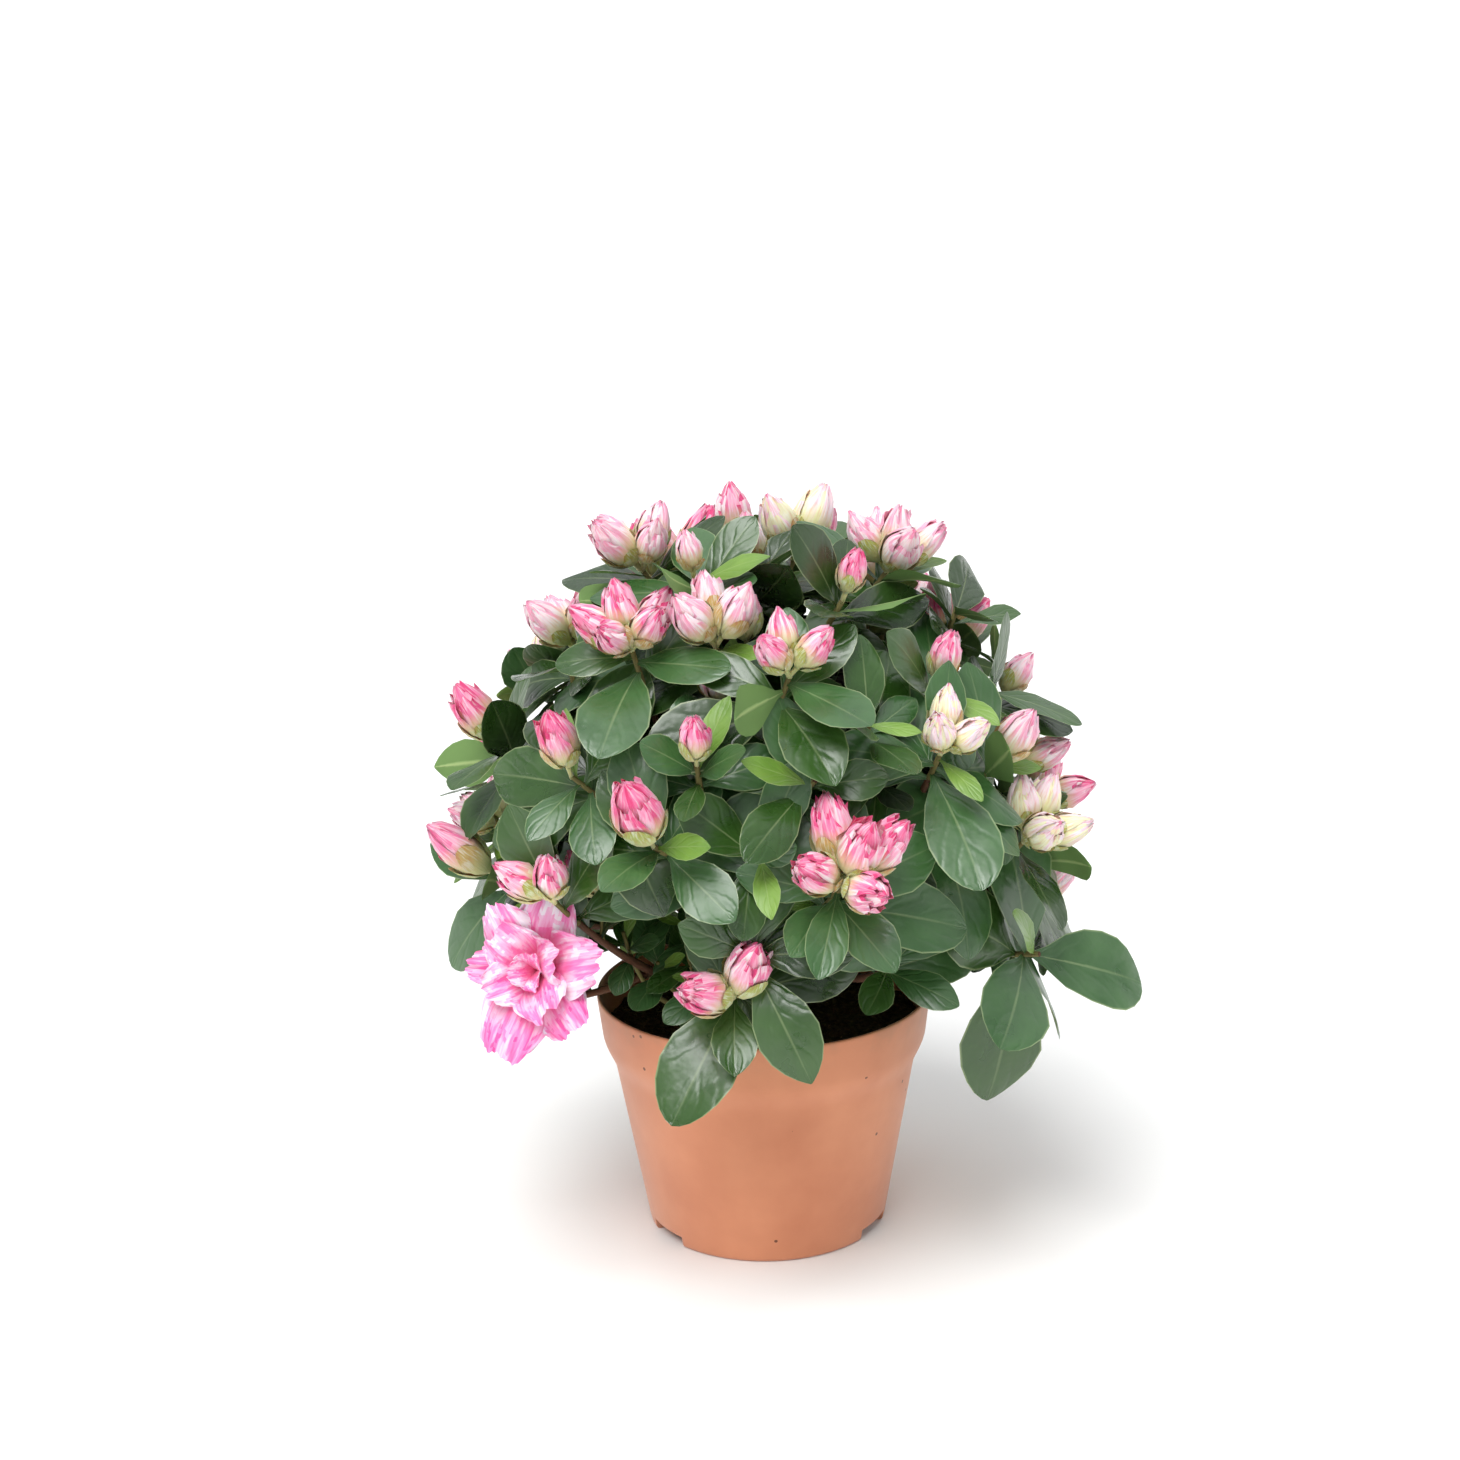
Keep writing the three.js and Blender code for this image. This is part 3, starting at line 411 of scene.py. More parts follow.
def turned(v, axis, degrees):
    """v turned about a unit axis: its part along the axis stays, and the rest goes round."""
    angle = np.radians(degrees)[..., None]
    lengthwise = (v * axis).sum(-1, keepdims=True) * axis
    return v * np.cos(angle) + np.cross(axis, v) * np.sin(angle) + lengthwise * (1 - np.cos(angle))


def on_dome(azimuth, latitude):
    """A point of the crown's outline: a half ellipsoid above its middle height and one below."""
    rise = math.radians(latitude)
    half = CROWN_DROP if latitude < 0 else CROWN_RISE
    return polar(azimuth, CROWN_RADIUS * math.cos(rise), CROWN_MIDDLE + half * math.sin(rise))


def dealer(seed):
    """Draws from a low to a high number, each from the last: 16807 times it, modulo 2147483647."""
    state = [seed]

    def draw(low=0.0, high=1.0):
        state[0] = state[0] * 16807 % 2147483647
        return low + (high - low) * state[0] / 2147483647

    return draw


# Each mass lies in one direction from the fork. Its root is the height at which its bough leaves
# the trunk, its reach is how far its foliage goes, and a dense one has all its twigs at its tip.
masses = [dict(name="mass_crown", azimuth=30, elevation=87, root=108, reach=171, dense=True)]
for i in range(5):
    masses.append(
        dict(
            name=f"mass_shoulder_{i + 1}",
            azimuth=-18 + 72 * i,
            elevation=47,
            root=98.5 + 1.4 * ((2 * i) % 5),
            reach=138,
            dense=True,
        )
    )
for i in range(8):
    masses.append(
        dict(
            name=f"mass_skirt_{i + 1}",
            azimuth=-52 + 45 * i,
            elevation=(14, 19)[i % 2],
            root=(85.6, 90.6)[i % 2],
            reach=104,
            dense=False,
        )
    )
for mass in masses:
    rise = math.radians(mass["elevation"])
    mass["heading"] = polar(mass["azimuth"], math.cos(rise), math.sin(rise))
    mass["stem_start"] = FORK + mass["heading"] * mass["reach"] * STEM_START
    share = DENSE_STEM_END if mass["dense"] else STEM_END
    mass["stem_end"] = FORK + mass["heading"] * mass["reach"] * share
    mass["sprays"] = []
headings = np.array([mass["heading"] for mass in masses])
draw = dealer(4127)
sprays = []


def add_spray(hub, buds, kind, **habit):
    """A spray's axis is the way out from the fork and the way up, weighed and added."""
    axis = unit(SPRAY_OUTWARD * unit(hub - FORK) + np.array([0, 0, SPRAY_UP]))
    mass = masses[int(np.argmax(headings @ (hub - FORK)))]
    spray = dict(hub=hub, axis=axis, buds=buds, kind=kind, mass=mass, rank=0, **habit)
    spray.update(turn=draw(0, 360), size=draw(0.9, 1.1))
    mass["sprays"].append(spray)
    sprays.append(spray)


def has_room(hub, azimuth, spacing):
    """Whether a hub lies outside the open places and a spacing away from every spray's hub."""
    in_gap = any(a < azimuth < b and hub[2] < top for a, b, top in OPEN_PLACES)
    return not in_gap and min(np.linalg.norm(s["hub"] - hub) for s in sprays) >= spacing


for azimuth, latitude, buds, kind, bud_size in DOME_SPRAYS:
    add_spray(on_dome(azimuth, latitude), buds, kind, bud_size=bud_size)
for azimuth, radius, height, buds, kind, bud_size, leaf_size in SKIRT_SPRAYS:
    hub = polar(azimuth, radius, height)
    add_spray(hub, buds, kind, bud_size=bud_size, leaf_size=leaf_size, drooping=True)
add_spray(polar(*OPEN_FLOWER), 0, "rose", drooping=True)
for i in range(SPIRAL_SPRAYS):
    sine = 1 - ((i + 0.5) / SPIRAL_SPRAYS) * (1 - math.sin(math.radians(SPIRAL_LOWEST)))
    latitude = math.degrees(math.asin(sine)) + draw(-3, 3)
    azimuth = (i * GOLDEN_ANGLE + draw(-4, 4) + 180) % 360 - 180
    chance = draw()
    hub = FORK + (on_dome(azimuth, min(latitude, 90)) - FORK) * draw(*SPIRAL_DEPTH)
    bare = BARE_FRONT[0] < azimuth < BARE_FRONT[1] and hub[2] < BARE_FRONT[2]
    if has_room(hub, azimuth, SPRAY_SPACING):
        add_spray(hub, 0 if bare else int(chance * SPIRAL_BUDS), KINDS[i % len(KINDS)])


def bezier(start, bend, end, shares):
    """Points of a curve that leaves start towards bend and comes to end from it."""
    t = np.asarray(shares, float)[:, None]
    return start * (1 - t) ** 2 + bend * 2 * t * (1 - t) + end * t**2


for mass in masses:
    way = lambda s: unit(s["hub"] - mass["stem_start"]) @ mass["heading"]
    for spray in mass["sprays"]:
        ahead = sum(way(other) > way(spray) for other in mass["sprays"])
        back = 0 if mass["dense"] else TWIG_ROOTS * ahead / len(mass["sprays"])
        start = mass["stem_end"] + (mass["stem_start"] - mass["stem_end"]) * back
        bend = (start + spray["hub"]) / 2
        bend[2] -= TWIG_SAG * np.linalg.norm(spray["hub"] - start)
        spray["curve"] = (start, bend, spray["hub"])

# Finer shoots: each leaves a twig part of the way along and ends under the crown's surface, in
# the space between the sprays, where the photograph shows leaves behind leaves.
INNER_SHOOTS = 150
INNER_DEPTH = (0.74, 0.86)
INNER_LOWEST = -12.0
INNER_SPACING = 19.0
INNER_CLIMB = 6.0  # how much further out than its start a shoot ends, at least
INNER_BUD_SHARE = 0.16
SHOOT_LENGTHS = (9.0, 40.0)
draw = dealer(977)
outer = list(sprays)
twig_steps = np.linspace(0.1, 0.85, 16)
along_twigs = np.concatenate([bezier(*s["curve"], twig_steps) for s in outer])
owner = np.repeat(np.arange(len(outer)), len(twig_steps))
for i in range(INNER_SHOOTS):
    sine = 1 - ((i + 0.5) / INNER_SHOOTS) * (1 - math.sin(math.radians(INNER_LOWEST)))
    azimuth = (i * GOLDEN_ANGLE + 61 + draw(-5, 5) + 180) % 360 - 180
    hub = FORK + (on_dome(azimuth, math.degrees(math.asin(sine))) - FORK) * draw(*INNER_DEPTH)
    reach = np.linalg.norm(along_twigs - hub, axis=1)
    further_in = (along_twigs - FORK) @ unit(hub - FORK) < np.linalg.norm(hub - FORK) - INNER_CLIMB
    reach = np.where(further_in, reach, np.inf)
    best = int(np.argmin(reach))
    in_reach = SHOOT_LENGTHS[0] < reach[best] < SHOOT_LENGTHS[1]
    if not in_reach or not has_room(hub, azimuth, INNER_SPACING):
        continue
    start = along_twigs[best]
    bend = (start + hub) / 2 + np.array([0, 0, -0.1 * reach[best]])
    parent = outer[owner[best]]
    axis = unit(0.8 * unit(hub - FORK) + 0.4 * unit(hub - start) + np.array([0, 0, 0.3]))
    spray = dict(hub=hub, axis=axis, buds=0, kind="rose", mass=parent["mass"], rank=1)
    spray.update(turn=draw(0, 360), size=draw(0.78, 0.98), curve=(start, bend, hub))
    if draw() < INNER_BUD_SHARE:
        spray.update(buds=1, kind=KINDS[i % len(KINDS)])
    sprays.append(spray)

# Low shoots: this year's thin growth, which springs upright from the boughs in the opening at the
# front left. Azimuth, radius and height of the foot and of the tip.
LOW_MASS = masses[6]  # mass_skirt_1, which stands at the front left
LOW_SHOOTS = (
    ((-30, 30, 96), (-33, 52, 125)),
    ((-44, 34, 97), (-44, 57, 121)),
    ((-46, 48, 101), (-52, 66, 133)),
    ((-22, 30, 95), (-24, 56, 118)),
    ((-36, 34, 99), (-38, 46, 137)),
)
for foot, tip in LOW_SHOOTS:
    start, hub = polar(*foot), polar(*tip)
    bend = (start * 0.3 + hub * 0.7) * np.array([1, 1, 0]) + np.array([0, 0, start[2] + 6])
    axis = unit(np.array([0, -0.3, 1.0]) + 0.4 * unit(hub - start))
    spray = dict(hub=hub, axis=axis, buds=0, kind="rose", mass=LOW_MASS, rank=1, low=True)
    spray.update(turn=draw(0, 360), size=draw(0.5, 0.62), curve=(start, bend, hub))
    sprays.append(spray)

# Trunk and boughs: the plant's old wood, one short trunk with a lobed foot and a bough for each
# mass, pruned low when it was young. Thin grey-brown bark covers it, finely fissured lengthwise.
TRUNK_TOP = 113.0
TRUNK_LEAN = (-1.5, -2.0)
TRUNK_RADIUS = 5.4
FORK_RADIUS = 4.6
FLARE_HEIGHT = 9.0
FLARE_LOBES = 4
LOBE_DEPTH = 0.18
BOUGH_RADIUS = 2.4
BOUGH_GAIN = 0.014  # more radius for each degree that a bough is steeper
BOUGH_BEND = 0.45
STEM_RADIUS = 2.1
STEM_TAPER = 0.2  # share of its radius that a stem loses to its end
BARK_RELIEF = 0.22
TRUNK_GAP = 0.3  # between the trunk's foot and the soil's mean height


def limbs(paths, radii):
    """Tapering limbs. paths (limbs, steps, 3) are their middle lines and radii (limbs, steps,
    sides) the way out to the bark. Each ring lies square to its path, and each end is closed."""
    paths = np.asarray(paths, float)
    ahead = unit(np.gradient(paths, axis=1))
    across = np.cross(paths[:, 1] - paths[:, 0], paths[:, -1] - paths[:, 0])
    flat = np.linalg.norm(across, axis=1) < 0.02
    across[flat] = np.cross(paths[flat, -1] - paths[flat, 0], np.array([1.0, 0.3, 0.2]))
    across = unit(across)[:, None, :] + 0 * ahead
    across = unit(across - (across * ahead).sum(-1, keepdims=True) * ahead)
    over = np.cross(ahead, across)
    number, steps, sides = radii.shape
    angle = np.arange(sides) * 2 * np.pi / sides
    out = across[:, :, None] * np.cos(angle)[:, None] + over[:, :, None] * np.sin(angle)[:, None]
    points = (paths[:, :, None] + out * radii[..., None]).reshape(-1, 3)
    first = np.arange(number)[:, None, None] * steps * sides
    faces = (lattice(steps, sides, True)[None] + first).reshape(-1, 4)
    ends = np.stack([np.arange(sides)[::-1], np.arange(sides) + (steps - 1) * sides])
    caps = (ends[None] + first).reshape(-1, sides)
    length = np.linalg.norm(np.diff(paths, axis=1), axis=-1).cumsum(1)
    length = np.concatenate([np.zeros((number, 1)), length], 1)[:, :, None] + 0 * radii
    girth = (np.arange(sides) / sides)[None, None] * 2 * np.pi * radii.mean((1, 2))[:, None, None]
    uv = np.stack([girth + 0 * radii, length], -1).reshape(-1, 2) / 100
    return points, [faces, caps], uv


def joined(parts):
    """Several (points, faces, uv) become one, each with its point numbers moved on."""
    moved = np.cumsum([0] + [len(points) for points, _, _ in parts])
    faces = [block + start for (_, blocks, _), start in zip(parts, moved) for block in blocks]
    return (
        np.concatenate([points for points, _, _ in parts]),
        faces,
        np.concatenate([uv for _, _, uv in parts]),
    )


TRUNK_STEPS, TRUNK_SIDES = 34, 30
trunk_foot = np.array([0, 0, SOIL_TOP + TRUNK_GAP])
trunk_bend = np.array([0, 0, (SOIL_TOP + TRUNK_TOP) / 2])
trunk_ends = (trunk_foot, trunk_bend, np.array([*TRUNK_LEAN, TRUNK_TOP]))
trunk_share = np.linspace(0, 1, TRUNK_STEPS)
trunk_path = bezier(*trunk_ends, trunk_share)
trunk_angle = np.arange(TRUNK_SIDES) * 2 * np.pi / TRUNK_SIDES
flare = np.clip(1 - trunk_share * (TRUNK_TOP - SOIL_TOP) / FLARE_HEIGHT, 0, 1) ** 2
straight = TRUNK_RADIUS + (FORK_RADIUS - TRUNK_RADIUS) * trunk_share
trunk_radii = (straight + (FLARE_RADIUS - TRUNK_RADIUS) * flare)[:, None]
trunk_radii = trunk_radii * (1 + LOBE_DEPTH * flare[:, None] * np.cos(FLARE_LOBES * trunk_angle))
climb = trunk_share[:, None]
fissure = np.sin(9 * trunk_angle + 5 * climb) * np.sin(4 * trunk_angle - 9 * climb)
trunk_radii = trunk_radii + BARK_RELIEF * fissure
trunk_radii[-1] *= 0.75  # the fork's rounded end, which the boughs cover
trunk_mesh = limbs(trunk_path[None], trunk_radii[None])

BOUGH_STEPS, STEM_STEPS, BOUGH_SIDES = 26, 12, 10
bough_paths, bough_radii = [], []
for mass in masses:
    root = bezier(*trunk_ends, [(mass["root"] - SOIL_TOP) / (TRUNK_TOP - SOIL_TOP)])[0]
    tip = mass["stem_start"]
    bend = tip - mass["heading"] * BOUGH_BEND * np.linalg.norm(tip - root)
    bough_share = np.linspace(0, 1, BOUGH_STEPS)
    wood = bezier(root, bend, tip, bough_share)
    stem_share = np.linspace(0, 1, STEM_STEPS + 1)[1:]
    stem = tip + (mass["stem_end"] - tip) * stem_share[:, None]
    thick = BOUGH_RADIUS + BOUGH_GAIN * mass["elevation"]
    taper = thick + (STEM_RADIUS - thick) * bough_share
    bough_paths.append(np.concatenate([wood, stem]))
    bough_radii.append(np.concatenate([taper, STEM_RADIUS * (1 - STEM_TAPER * stem_share)]))
bough_paths = np.array(bough_paths)
bough_radii = np.array(bough_radii)[:, :, None] + np.zeros(BOUGH_SIDES)
knots = ripple(bough_paths[:, :, None] + np.arange(BOUGH_SIDES)[:, None] * 1.7, 7, 21)
bough_mesh = limbs(bough_paths, bough_radii + BARK_RELIEF * knots)

# Azalea bark: thin, matt, grey-brown with a red cast, fissured lengthwise every millimetre or so.
BARK_LIGHT = "#8A6A50"
BARK_DARK = "#4E3426"
bark, tree, shader = finish_of("azalea_bark", Roughness=0.85, Specular_IOR_Level=0.3)
own = add(tree, "ShaderNodeUVMap", uv_map="UVMap").outputs[0]
fibre = streaks(tree, own, 90.0, 14.0)
brown = mixed(tree, ranged(tree, fibre, 0.35, 0.65), linear(BARK_DARK), linear(BARK_LIGHT))
tree.links.new(brown, shader.inputs["Base Color"])
roughen(tree, shader, fibre, 0.8, 0.0006)
wood_points, wood_faces, wood_uv = joined([trunk_mesh, bough_mesh])
bough_names = [mass["name"].replace("mass", "bough") for mass in masses]
new_piece(
    "trunk_and_boughs", ["trunk", *bough_names], wood_points, wood_faces, [bark], uv=wood_uv
)

# Twigs: last year's red-brown shoots, and this year's finer green ones, which fan out from each
# bough's tip to the sprays. They grow on from the boughs and are sunk into them.
TWIG_RADII = (1.9, 1.0)  # at the root and at the spray
SHOOT_RADII = (1.1, 0.75)
TWIG_KNOBS = 0.08
TWIG_STEPS, TWIG_SIDES = 10, 6
OLD_RINGS = 6  # steps of a twig that are last year's wood
twig_share = np.linspace(0, 1, TWIG_STEPS)
twig_paths = np.array([bezier(*spray["curve"], twig_share) for spray in sprays])
twig_ends = np.array([(TWIG_RADII, SHOOT_RADII)[spray["rank"]] for spray in sprays])
twig_radii = twig_ends[:, 0:1] + (twig_ends[:, 1] - twig_ends[:, 0])[:, None] * twig_share
twig_radii = twig_radii * (1 + TWIG_KNOBS * ripple(twig_paths, 5, 31))
twig_points, twig_faces, twig_uv = limbs(twig_paths, twig_radii[:, :, None] + np.zeros(TWIG_SIDES))

# Young bark: smooth, faintly hairy, green-brown towards the tip and redder on older wood. Each
# finish has its colour and the darker one of its streaks.
TWIG_BARKS = (
    ("old_twig_bark", "#6F4A34", "#4A2F22"),
    ("young_twig_bark", "#7C7A45", "#6A5A38"),
)
twig_finishes = []
for name, colour, shade in TWIG_BARKS:
    material, tree, shader = finish_of(name, Roughness=0.7, Specular_IOR_Level=0.3)
    own = add(tree, "ShaderNodeUVMap", uv_map="UVMap").outputs[0]
    fibre = streaks(tree, own, 120.0, 22.0, 2.0)
    tree.links.new(mixed(tree, fibre, linear(shade), linear(colour)), shader.inputs["Base Color"])
    roughen(tree, shader, fibre, 0.5, 0.0004)
    twig_finishes.append(material)
side_count = (TWIG_STEPS - 1) * TWIG_SIDES
ranks = np.array([spray["rank"] for spray in sprays])
tip_side = np.arange(side_count) // TWIG_SIDES > OLD_RINGS
twig_finish = (tip_side[None, :] | (ranks[:, None] > 0)).astype(int).ravel()
twig_finish = np.concatenate([twig_finish, np.repeat(ranks > 0, 2).astype(int)])
mass_names = [mass["name"] for mass in masses]
new_piece("twigs", mass_names, twig_points, twig_faces, twig_finishes, twig_finish, twig_uv)

# Leaves: leathery evergreen blades, mostly 20 to 50 mm long, widest beyond the middle, with a
# rounded tip, folded along the midrib and arched back. Each grows from its twig below the buds,
# turned the golden angle on from the last one, and takes the first position where it has room.
LEAF_LENGTH = 46.0
LONGEST_LEAF = 57.0
LEAF_WIDTH = 0.5  # as a share of its length
LEAF_THICKNESS = 0.45
WHORL_START = 2.5  # how far below the spray's hub the first leaf grows, and then each next one
WHORL_STEP = 1.5
OLD_LEAF_STEP = 6.0
LOWEST_LEAF = 0.8  # share of the twig's length that may carry leaves
LEAVES_IN_SPRAY = 9
LEAVES_IN_SHOOT = 6
OLD_LEAVES = 2
LEAF_SPREAD = (56.0, 90.0)  # angle from the spray's axis, of the youngest and the oldest leaf
CROWDED_SPREAD = 8.0  # more for the leaves that a cluster of buds pushes aside
DROOPING_SPREAD = 6.0
LEAF_DROOP = 26.0
TO_LIGHT = np.array([0.0, -0.94, 0.34])  # the window that the plant was grown at
LIGHT_PULL = 0.5
LIGHT_BACK = 35.0
UPRIGHT_SPREAD = 30.0  # of a young leaf that still stands up and shows its under side
HELD_OUT_SPREAD = 58.0  # of one leaf that each spray with leaves over HELD_OUT_SIZE holds out
HELD_OUT_SIZE = 1.12
UPRIGHT_SHARE = 0.3
ROLLED_ANGLE = 140.0  # of a leaf that hangs with its pale under side out
ROLLED_SHARE = 0.08
LEAF_OUTWARD = 0.75
LEAF_STALK = 7.0  # length next to its twig that may touch the other leaves of the spray
LEAF_ROWS = np.array([0, 0.11, 0.27, 0.45, 0.62, 0.76, 0.86, 0.935, 0.982, 1.0])
LEAF_COLUMNS = np.array([-1, -0.5, 0, 0.5, 1])
# Positions that a leaf tries in turn: share of its length, degrees raised, degrees swung round.
LEAF_TRIALS = (
    (1, 0, 0),
    (1, 12, 12),
    (1, -12, -12),
    (0.9, 8, -22),
    (0.9, -4, 24),
    (0.8, 24, 0),
    (0.72, -10, 30),
    (0.72, 18, -34),
    (0.62, 30, 15),
)


def leaf_surface(leaves, rows, columns):
    """A leaf's upper side. The half width is the sine of pi times the share of the length to the
    power 1.3, to a power that makes its tip blunter or more pointed: widest at 0.58. The
    blade bends back on a circular arc, twists evenly, folds up from the midrib and curls down
    again at its edges."""
    take = lambda key: np.array([leaf[key] for leaf in leaves])
    ahead, facing = take("direction"), take("facing")
    length, width = take("length")[:, None], take("width")[:, None]
    bend, twist = np.radians(take("bend"))[:, None], np.radians(take("twist"))[:, None]
    side = unit(np.cross(ahead, facing))
    up = np.cross(side, ahead)
    t = rows[None, :]
    blade = np.clip((t - 0.06) / 0.94, 0, 1)
    half = np.maximum(np.sin(np.pi * blade**1.3), 0) ** take("point")[:, None]
    half = np.maximum(half * width / 2 * length, 0.75 * (1 - 0.5 * t))
    forward = (np.sin(bend * t) / bend * length)[..., None]
    sink = ((1 - np.cos(bend * t)) / bend * length)[..., None]
    middle = take("foot")[:, None] + ahead[:, None] * forward - up[:, None] * sink
    lifted = up[:, None] * np.cos(bend * t)[..., None] + ahead[:, None] * np.sin(bend * t)[..., None]
    turn = (twist * t)[..., None]
    sideways = side[:, None] * np.cos(turn) + lifted * np.sin(turn)
    lifted = lifted * np.cos(turn) - side[:, None] * np.sin(turn)
    c = columns[None, None, :]
    fold, curl, wave = (take(key)[:, None, None] for key in ("fold", "curl", "wave"))
    rise = half[..., None] * (fold * np.abs(c) - curl * c**2)
    rise = rise + half[..., None] * 0.09 * np.sin(2 * np.pi * (1.3 * t[..., None] + wave)) * c * np.abs(c)
    spot = middle[:, :, None] + sideways[:, :, None] * (half[..., None] * c)[..., None]
    return spot + lifted[:, :, None] * rise[..., None]


def crossing(segments, triangles):
    """Whether any segment passes through any triangle: the point where it meets the triangle's
    plane is worked out in shares of two sides, and of the segment."""
    origin = segments[:, None, 0]
    way = segments[:, None, 1] - origin
    corner = triangles[None, :, 0]
    one, two = triangles[None, :, 1] - corner, triangles[None, :, 2] - corner
    p = np.cross(way, two)
    volume = (one * p).sum(-1)
    volume = np.where(np.abs(volume) < 1e-9, 1e-9, volume)
    offset = origin - corner
    a = (offset * p).sum(-1) / volume
    q = np.cross(offset, one)
    b = (way * q).sum(-1) / volume
    share = (two * q).sum(-1) / volume
    return bool(((a > 0) & (b > 0) & (a + b < 1) & (share > 0) & (share < 1)).any())


# The coarser grid on which a leaf is tried, with its triangles and all their edges.
TEST_ROWS = np.array([0.0, 0.35, 0.5, 0.64, 0.78, 0.9, 1.0])
TEST_COLUMNS = np.array([-1, 0, 1])
TEST_GRID = lattice(len(TEST_ROWS), len(TEST_COLUMNS), False)
TEST_TRIANGLES = np.concatenate([TEST_GRID[:, [0, 1, 2]], TEST_GRID[:, [0, 2, 3]]])
TEST_EDGES = np.unique(np.sort(TEST_TRIANGLES[:, [0, 1, 1, 2, 2, 0]].reshape(-1, 2), 1), axis=0)

# Where the buds and the open flower stand, worked out before the leaves, which leave them room:
# balls of space on each bud's axis, in front of the buds that the photograph shows, and in front
# of the flower's throat.
BUD_LENGTH = 20.5
BUD_RADIUS = 5.9
BUD_STALK = 4.5
BUD_ROOM = ((0.3, 1.15), (0.75, 1.05))  # share of a bud's length, and share of its radius
BUD_SEARCH = 60.0
TO_VIEWER = np.array([0, -0.965, 0.26])
SIGHT_STEPS = (12, 24, 36)  # distances towards the viewer that stay free of leaves
SIGHT_ROOM = 1.1
SHOWN_HEADING = -0.2
FLOWER_ROOM = ((16, 27), (38, 27))  # distance along the flower's axis, and radius
CLUSTER_LEAN = {2: 0.5, 3: 0.62, 4: 0.75, 5: 0.95, 6: 1.05}  # by the number of buds
TWIG_ROOM = 1.6
BOUGH_ROOM = 2.6
buds = []
for spray in sprays:
    axis = spray["axis"]
    side = unit(np.cross(axis, np.array([1.0, 0, 0])))
    number = spray["buds"]
    in_ring = number if number < 5 else number - 1
    scale = draw(0.92, 1.06) * spray.get("bud_size", draw(0.9, 1.2))
    for k in range(number):
        ringed = k < in_ring and number > 1
        lean = CLUSTER_LEAN[number] * draw(0.85, 1.15) if ringed else draw(0.05, 0.2)
        around = spray["turn"] + 360 * k / in_ring + draw(-12, 12)
        across = turned(side, axis, np.array(around))
        direction = unit(axis + across * lean)
        size = scale * draw(0.85, 1.05)
        stalk = BUD_STALK * (1.0 if number < 3 else 1.25) * scale
        long = spray["kind"] == "long"
        buds.append(
            dict(
                hub=spray["hub"],
                foot=spray["hub"] + direction * stalk,
                direction=direction,
                length=BUD_LENGTH * size * (1.3 if long else 1.0),
                radius=BUD_RADIUS * size * (1.1 if long else 1.0),
                kind=spray["kind"],
                open=max(draw(), 0.9 if scale > 1.2 else 0.0),
                named="bud_size" in spray,
            )
        )
FLOWER_HEADING = polar(-24, math.cos(math.radians(16)), math.sin(math.radians(16)))
flower_hub = polar(*OPEN_FLOWER)
FLOWER_FOOT = flower_hub + np.array([-5.0, -1.0, 12.5])
flower_room = [(FLOWER_FOOT + FLOWER_HEADING * away, wide) for away, wide in FLOWER_ROOM]
bud_parts = [
    (b["foot"] + b["direction"] * b["length"] * share, b["radius"] * wide)
    for b in buds
    for share, wide in BUD_ROOM
]
shown = [b for b in buds if b["named"] and b["direction"][1] < SHOWN_HEADING]
in_sight = [
    (b["foot"] + b["direction"] * b["length"] * 0.5 + TO_VIEWER * away, b["radius"] * SIGHT_ROOM)
    for b in shown
    for away in SIGHT_STEPS
]
bud_middles = np.array([spot for spot, _ in bud_parts + flower_room + in_sight])
bud_room = np.array([wide for _, wide in bud_parts + flower_room + in_sight])
bud_lines = np.array([[b["hub"], b["foot"] + b["direction"] * b["length"] * 1.05] for b in buds])
bough_spots = bough_paths.reshape(-1, 3)[::2]
bough_room = np.maximum(bough_radii.max(2).ravel()[::2] + 1.0, BOUGH_ROOM)
twig_spots = twig_paths[:, 1:-1].reshape(-1, 3)

# Room that a leaf keeps from the pot and the soil, and the lowest height at which one may hang.
POT_ROOM = 1.5
WALL_SWELL = 3.0  # how far the wall stands outside the straight line from its foot to the rim
LIP_ROOM = 5.0
SOIL_ROOM = 4.0
LOWEST_POINT = 46.0


def clear_of_pot(points):
    """True above the rim, outside the wall and its collar, or inside the rim above the soil."""
    radius, z = np.hypot(points[..., 0], points[..., 1]), points[..., 2]
    straight = FOOT_RADIUS + (RIM_RADIUS - FOOT_RADIUS) * z / POT_HEIGHT
    outside = radius > np.minimum(straight + WALL_SWELL, RIM_RADIUS) + POT_ROOM
    inside = (radius < RIM_RADIUS - LIP_ROOM) & (z > SOIL_TOP + SOIL_ROOM)
    return (z > POT_HEIGHT + POT_ROOM) | ((z > LOWEST_POINT) & (outside | inside))


# Openings low at the front, where the photograph shows soil, rim, bare stems and nothing below the
# flower: from left to right, and from low to high on the sight line, which sinks to the back.
OPENINGS = ((-58, -31, 87, 128), (25, 67, 58, 91), (-150, -60, 0, 90), (104, 150, 0, 84))
SIGHT_SLOPE = 0.27
OPENING_DEPTH = -10.0


def in_opening(points):
    """True for each point in front of an opening: its height less the sight line's slope times its
    distance in front of the middle lies between the opening's two heights."""
    x, y, z = points[..., 0], points[..., 1], points[..., 2]
    seen = z + SIGHT_SLOPE * y
    hidden = [(x > a) & (x < b) & (seen > low) & (seen < high) for a, b, low, high in OPENINGS]
    return np.any(hidden, axis=0) & (y < OPENING_DEPTH)


NEIGHBOUR_ROOM = 3.0  # leaves further apart than half their lengths and this can't cross
placed, placed_triangles, placed_edges, placed_middles, placed_lengths = [], [], [], [], []


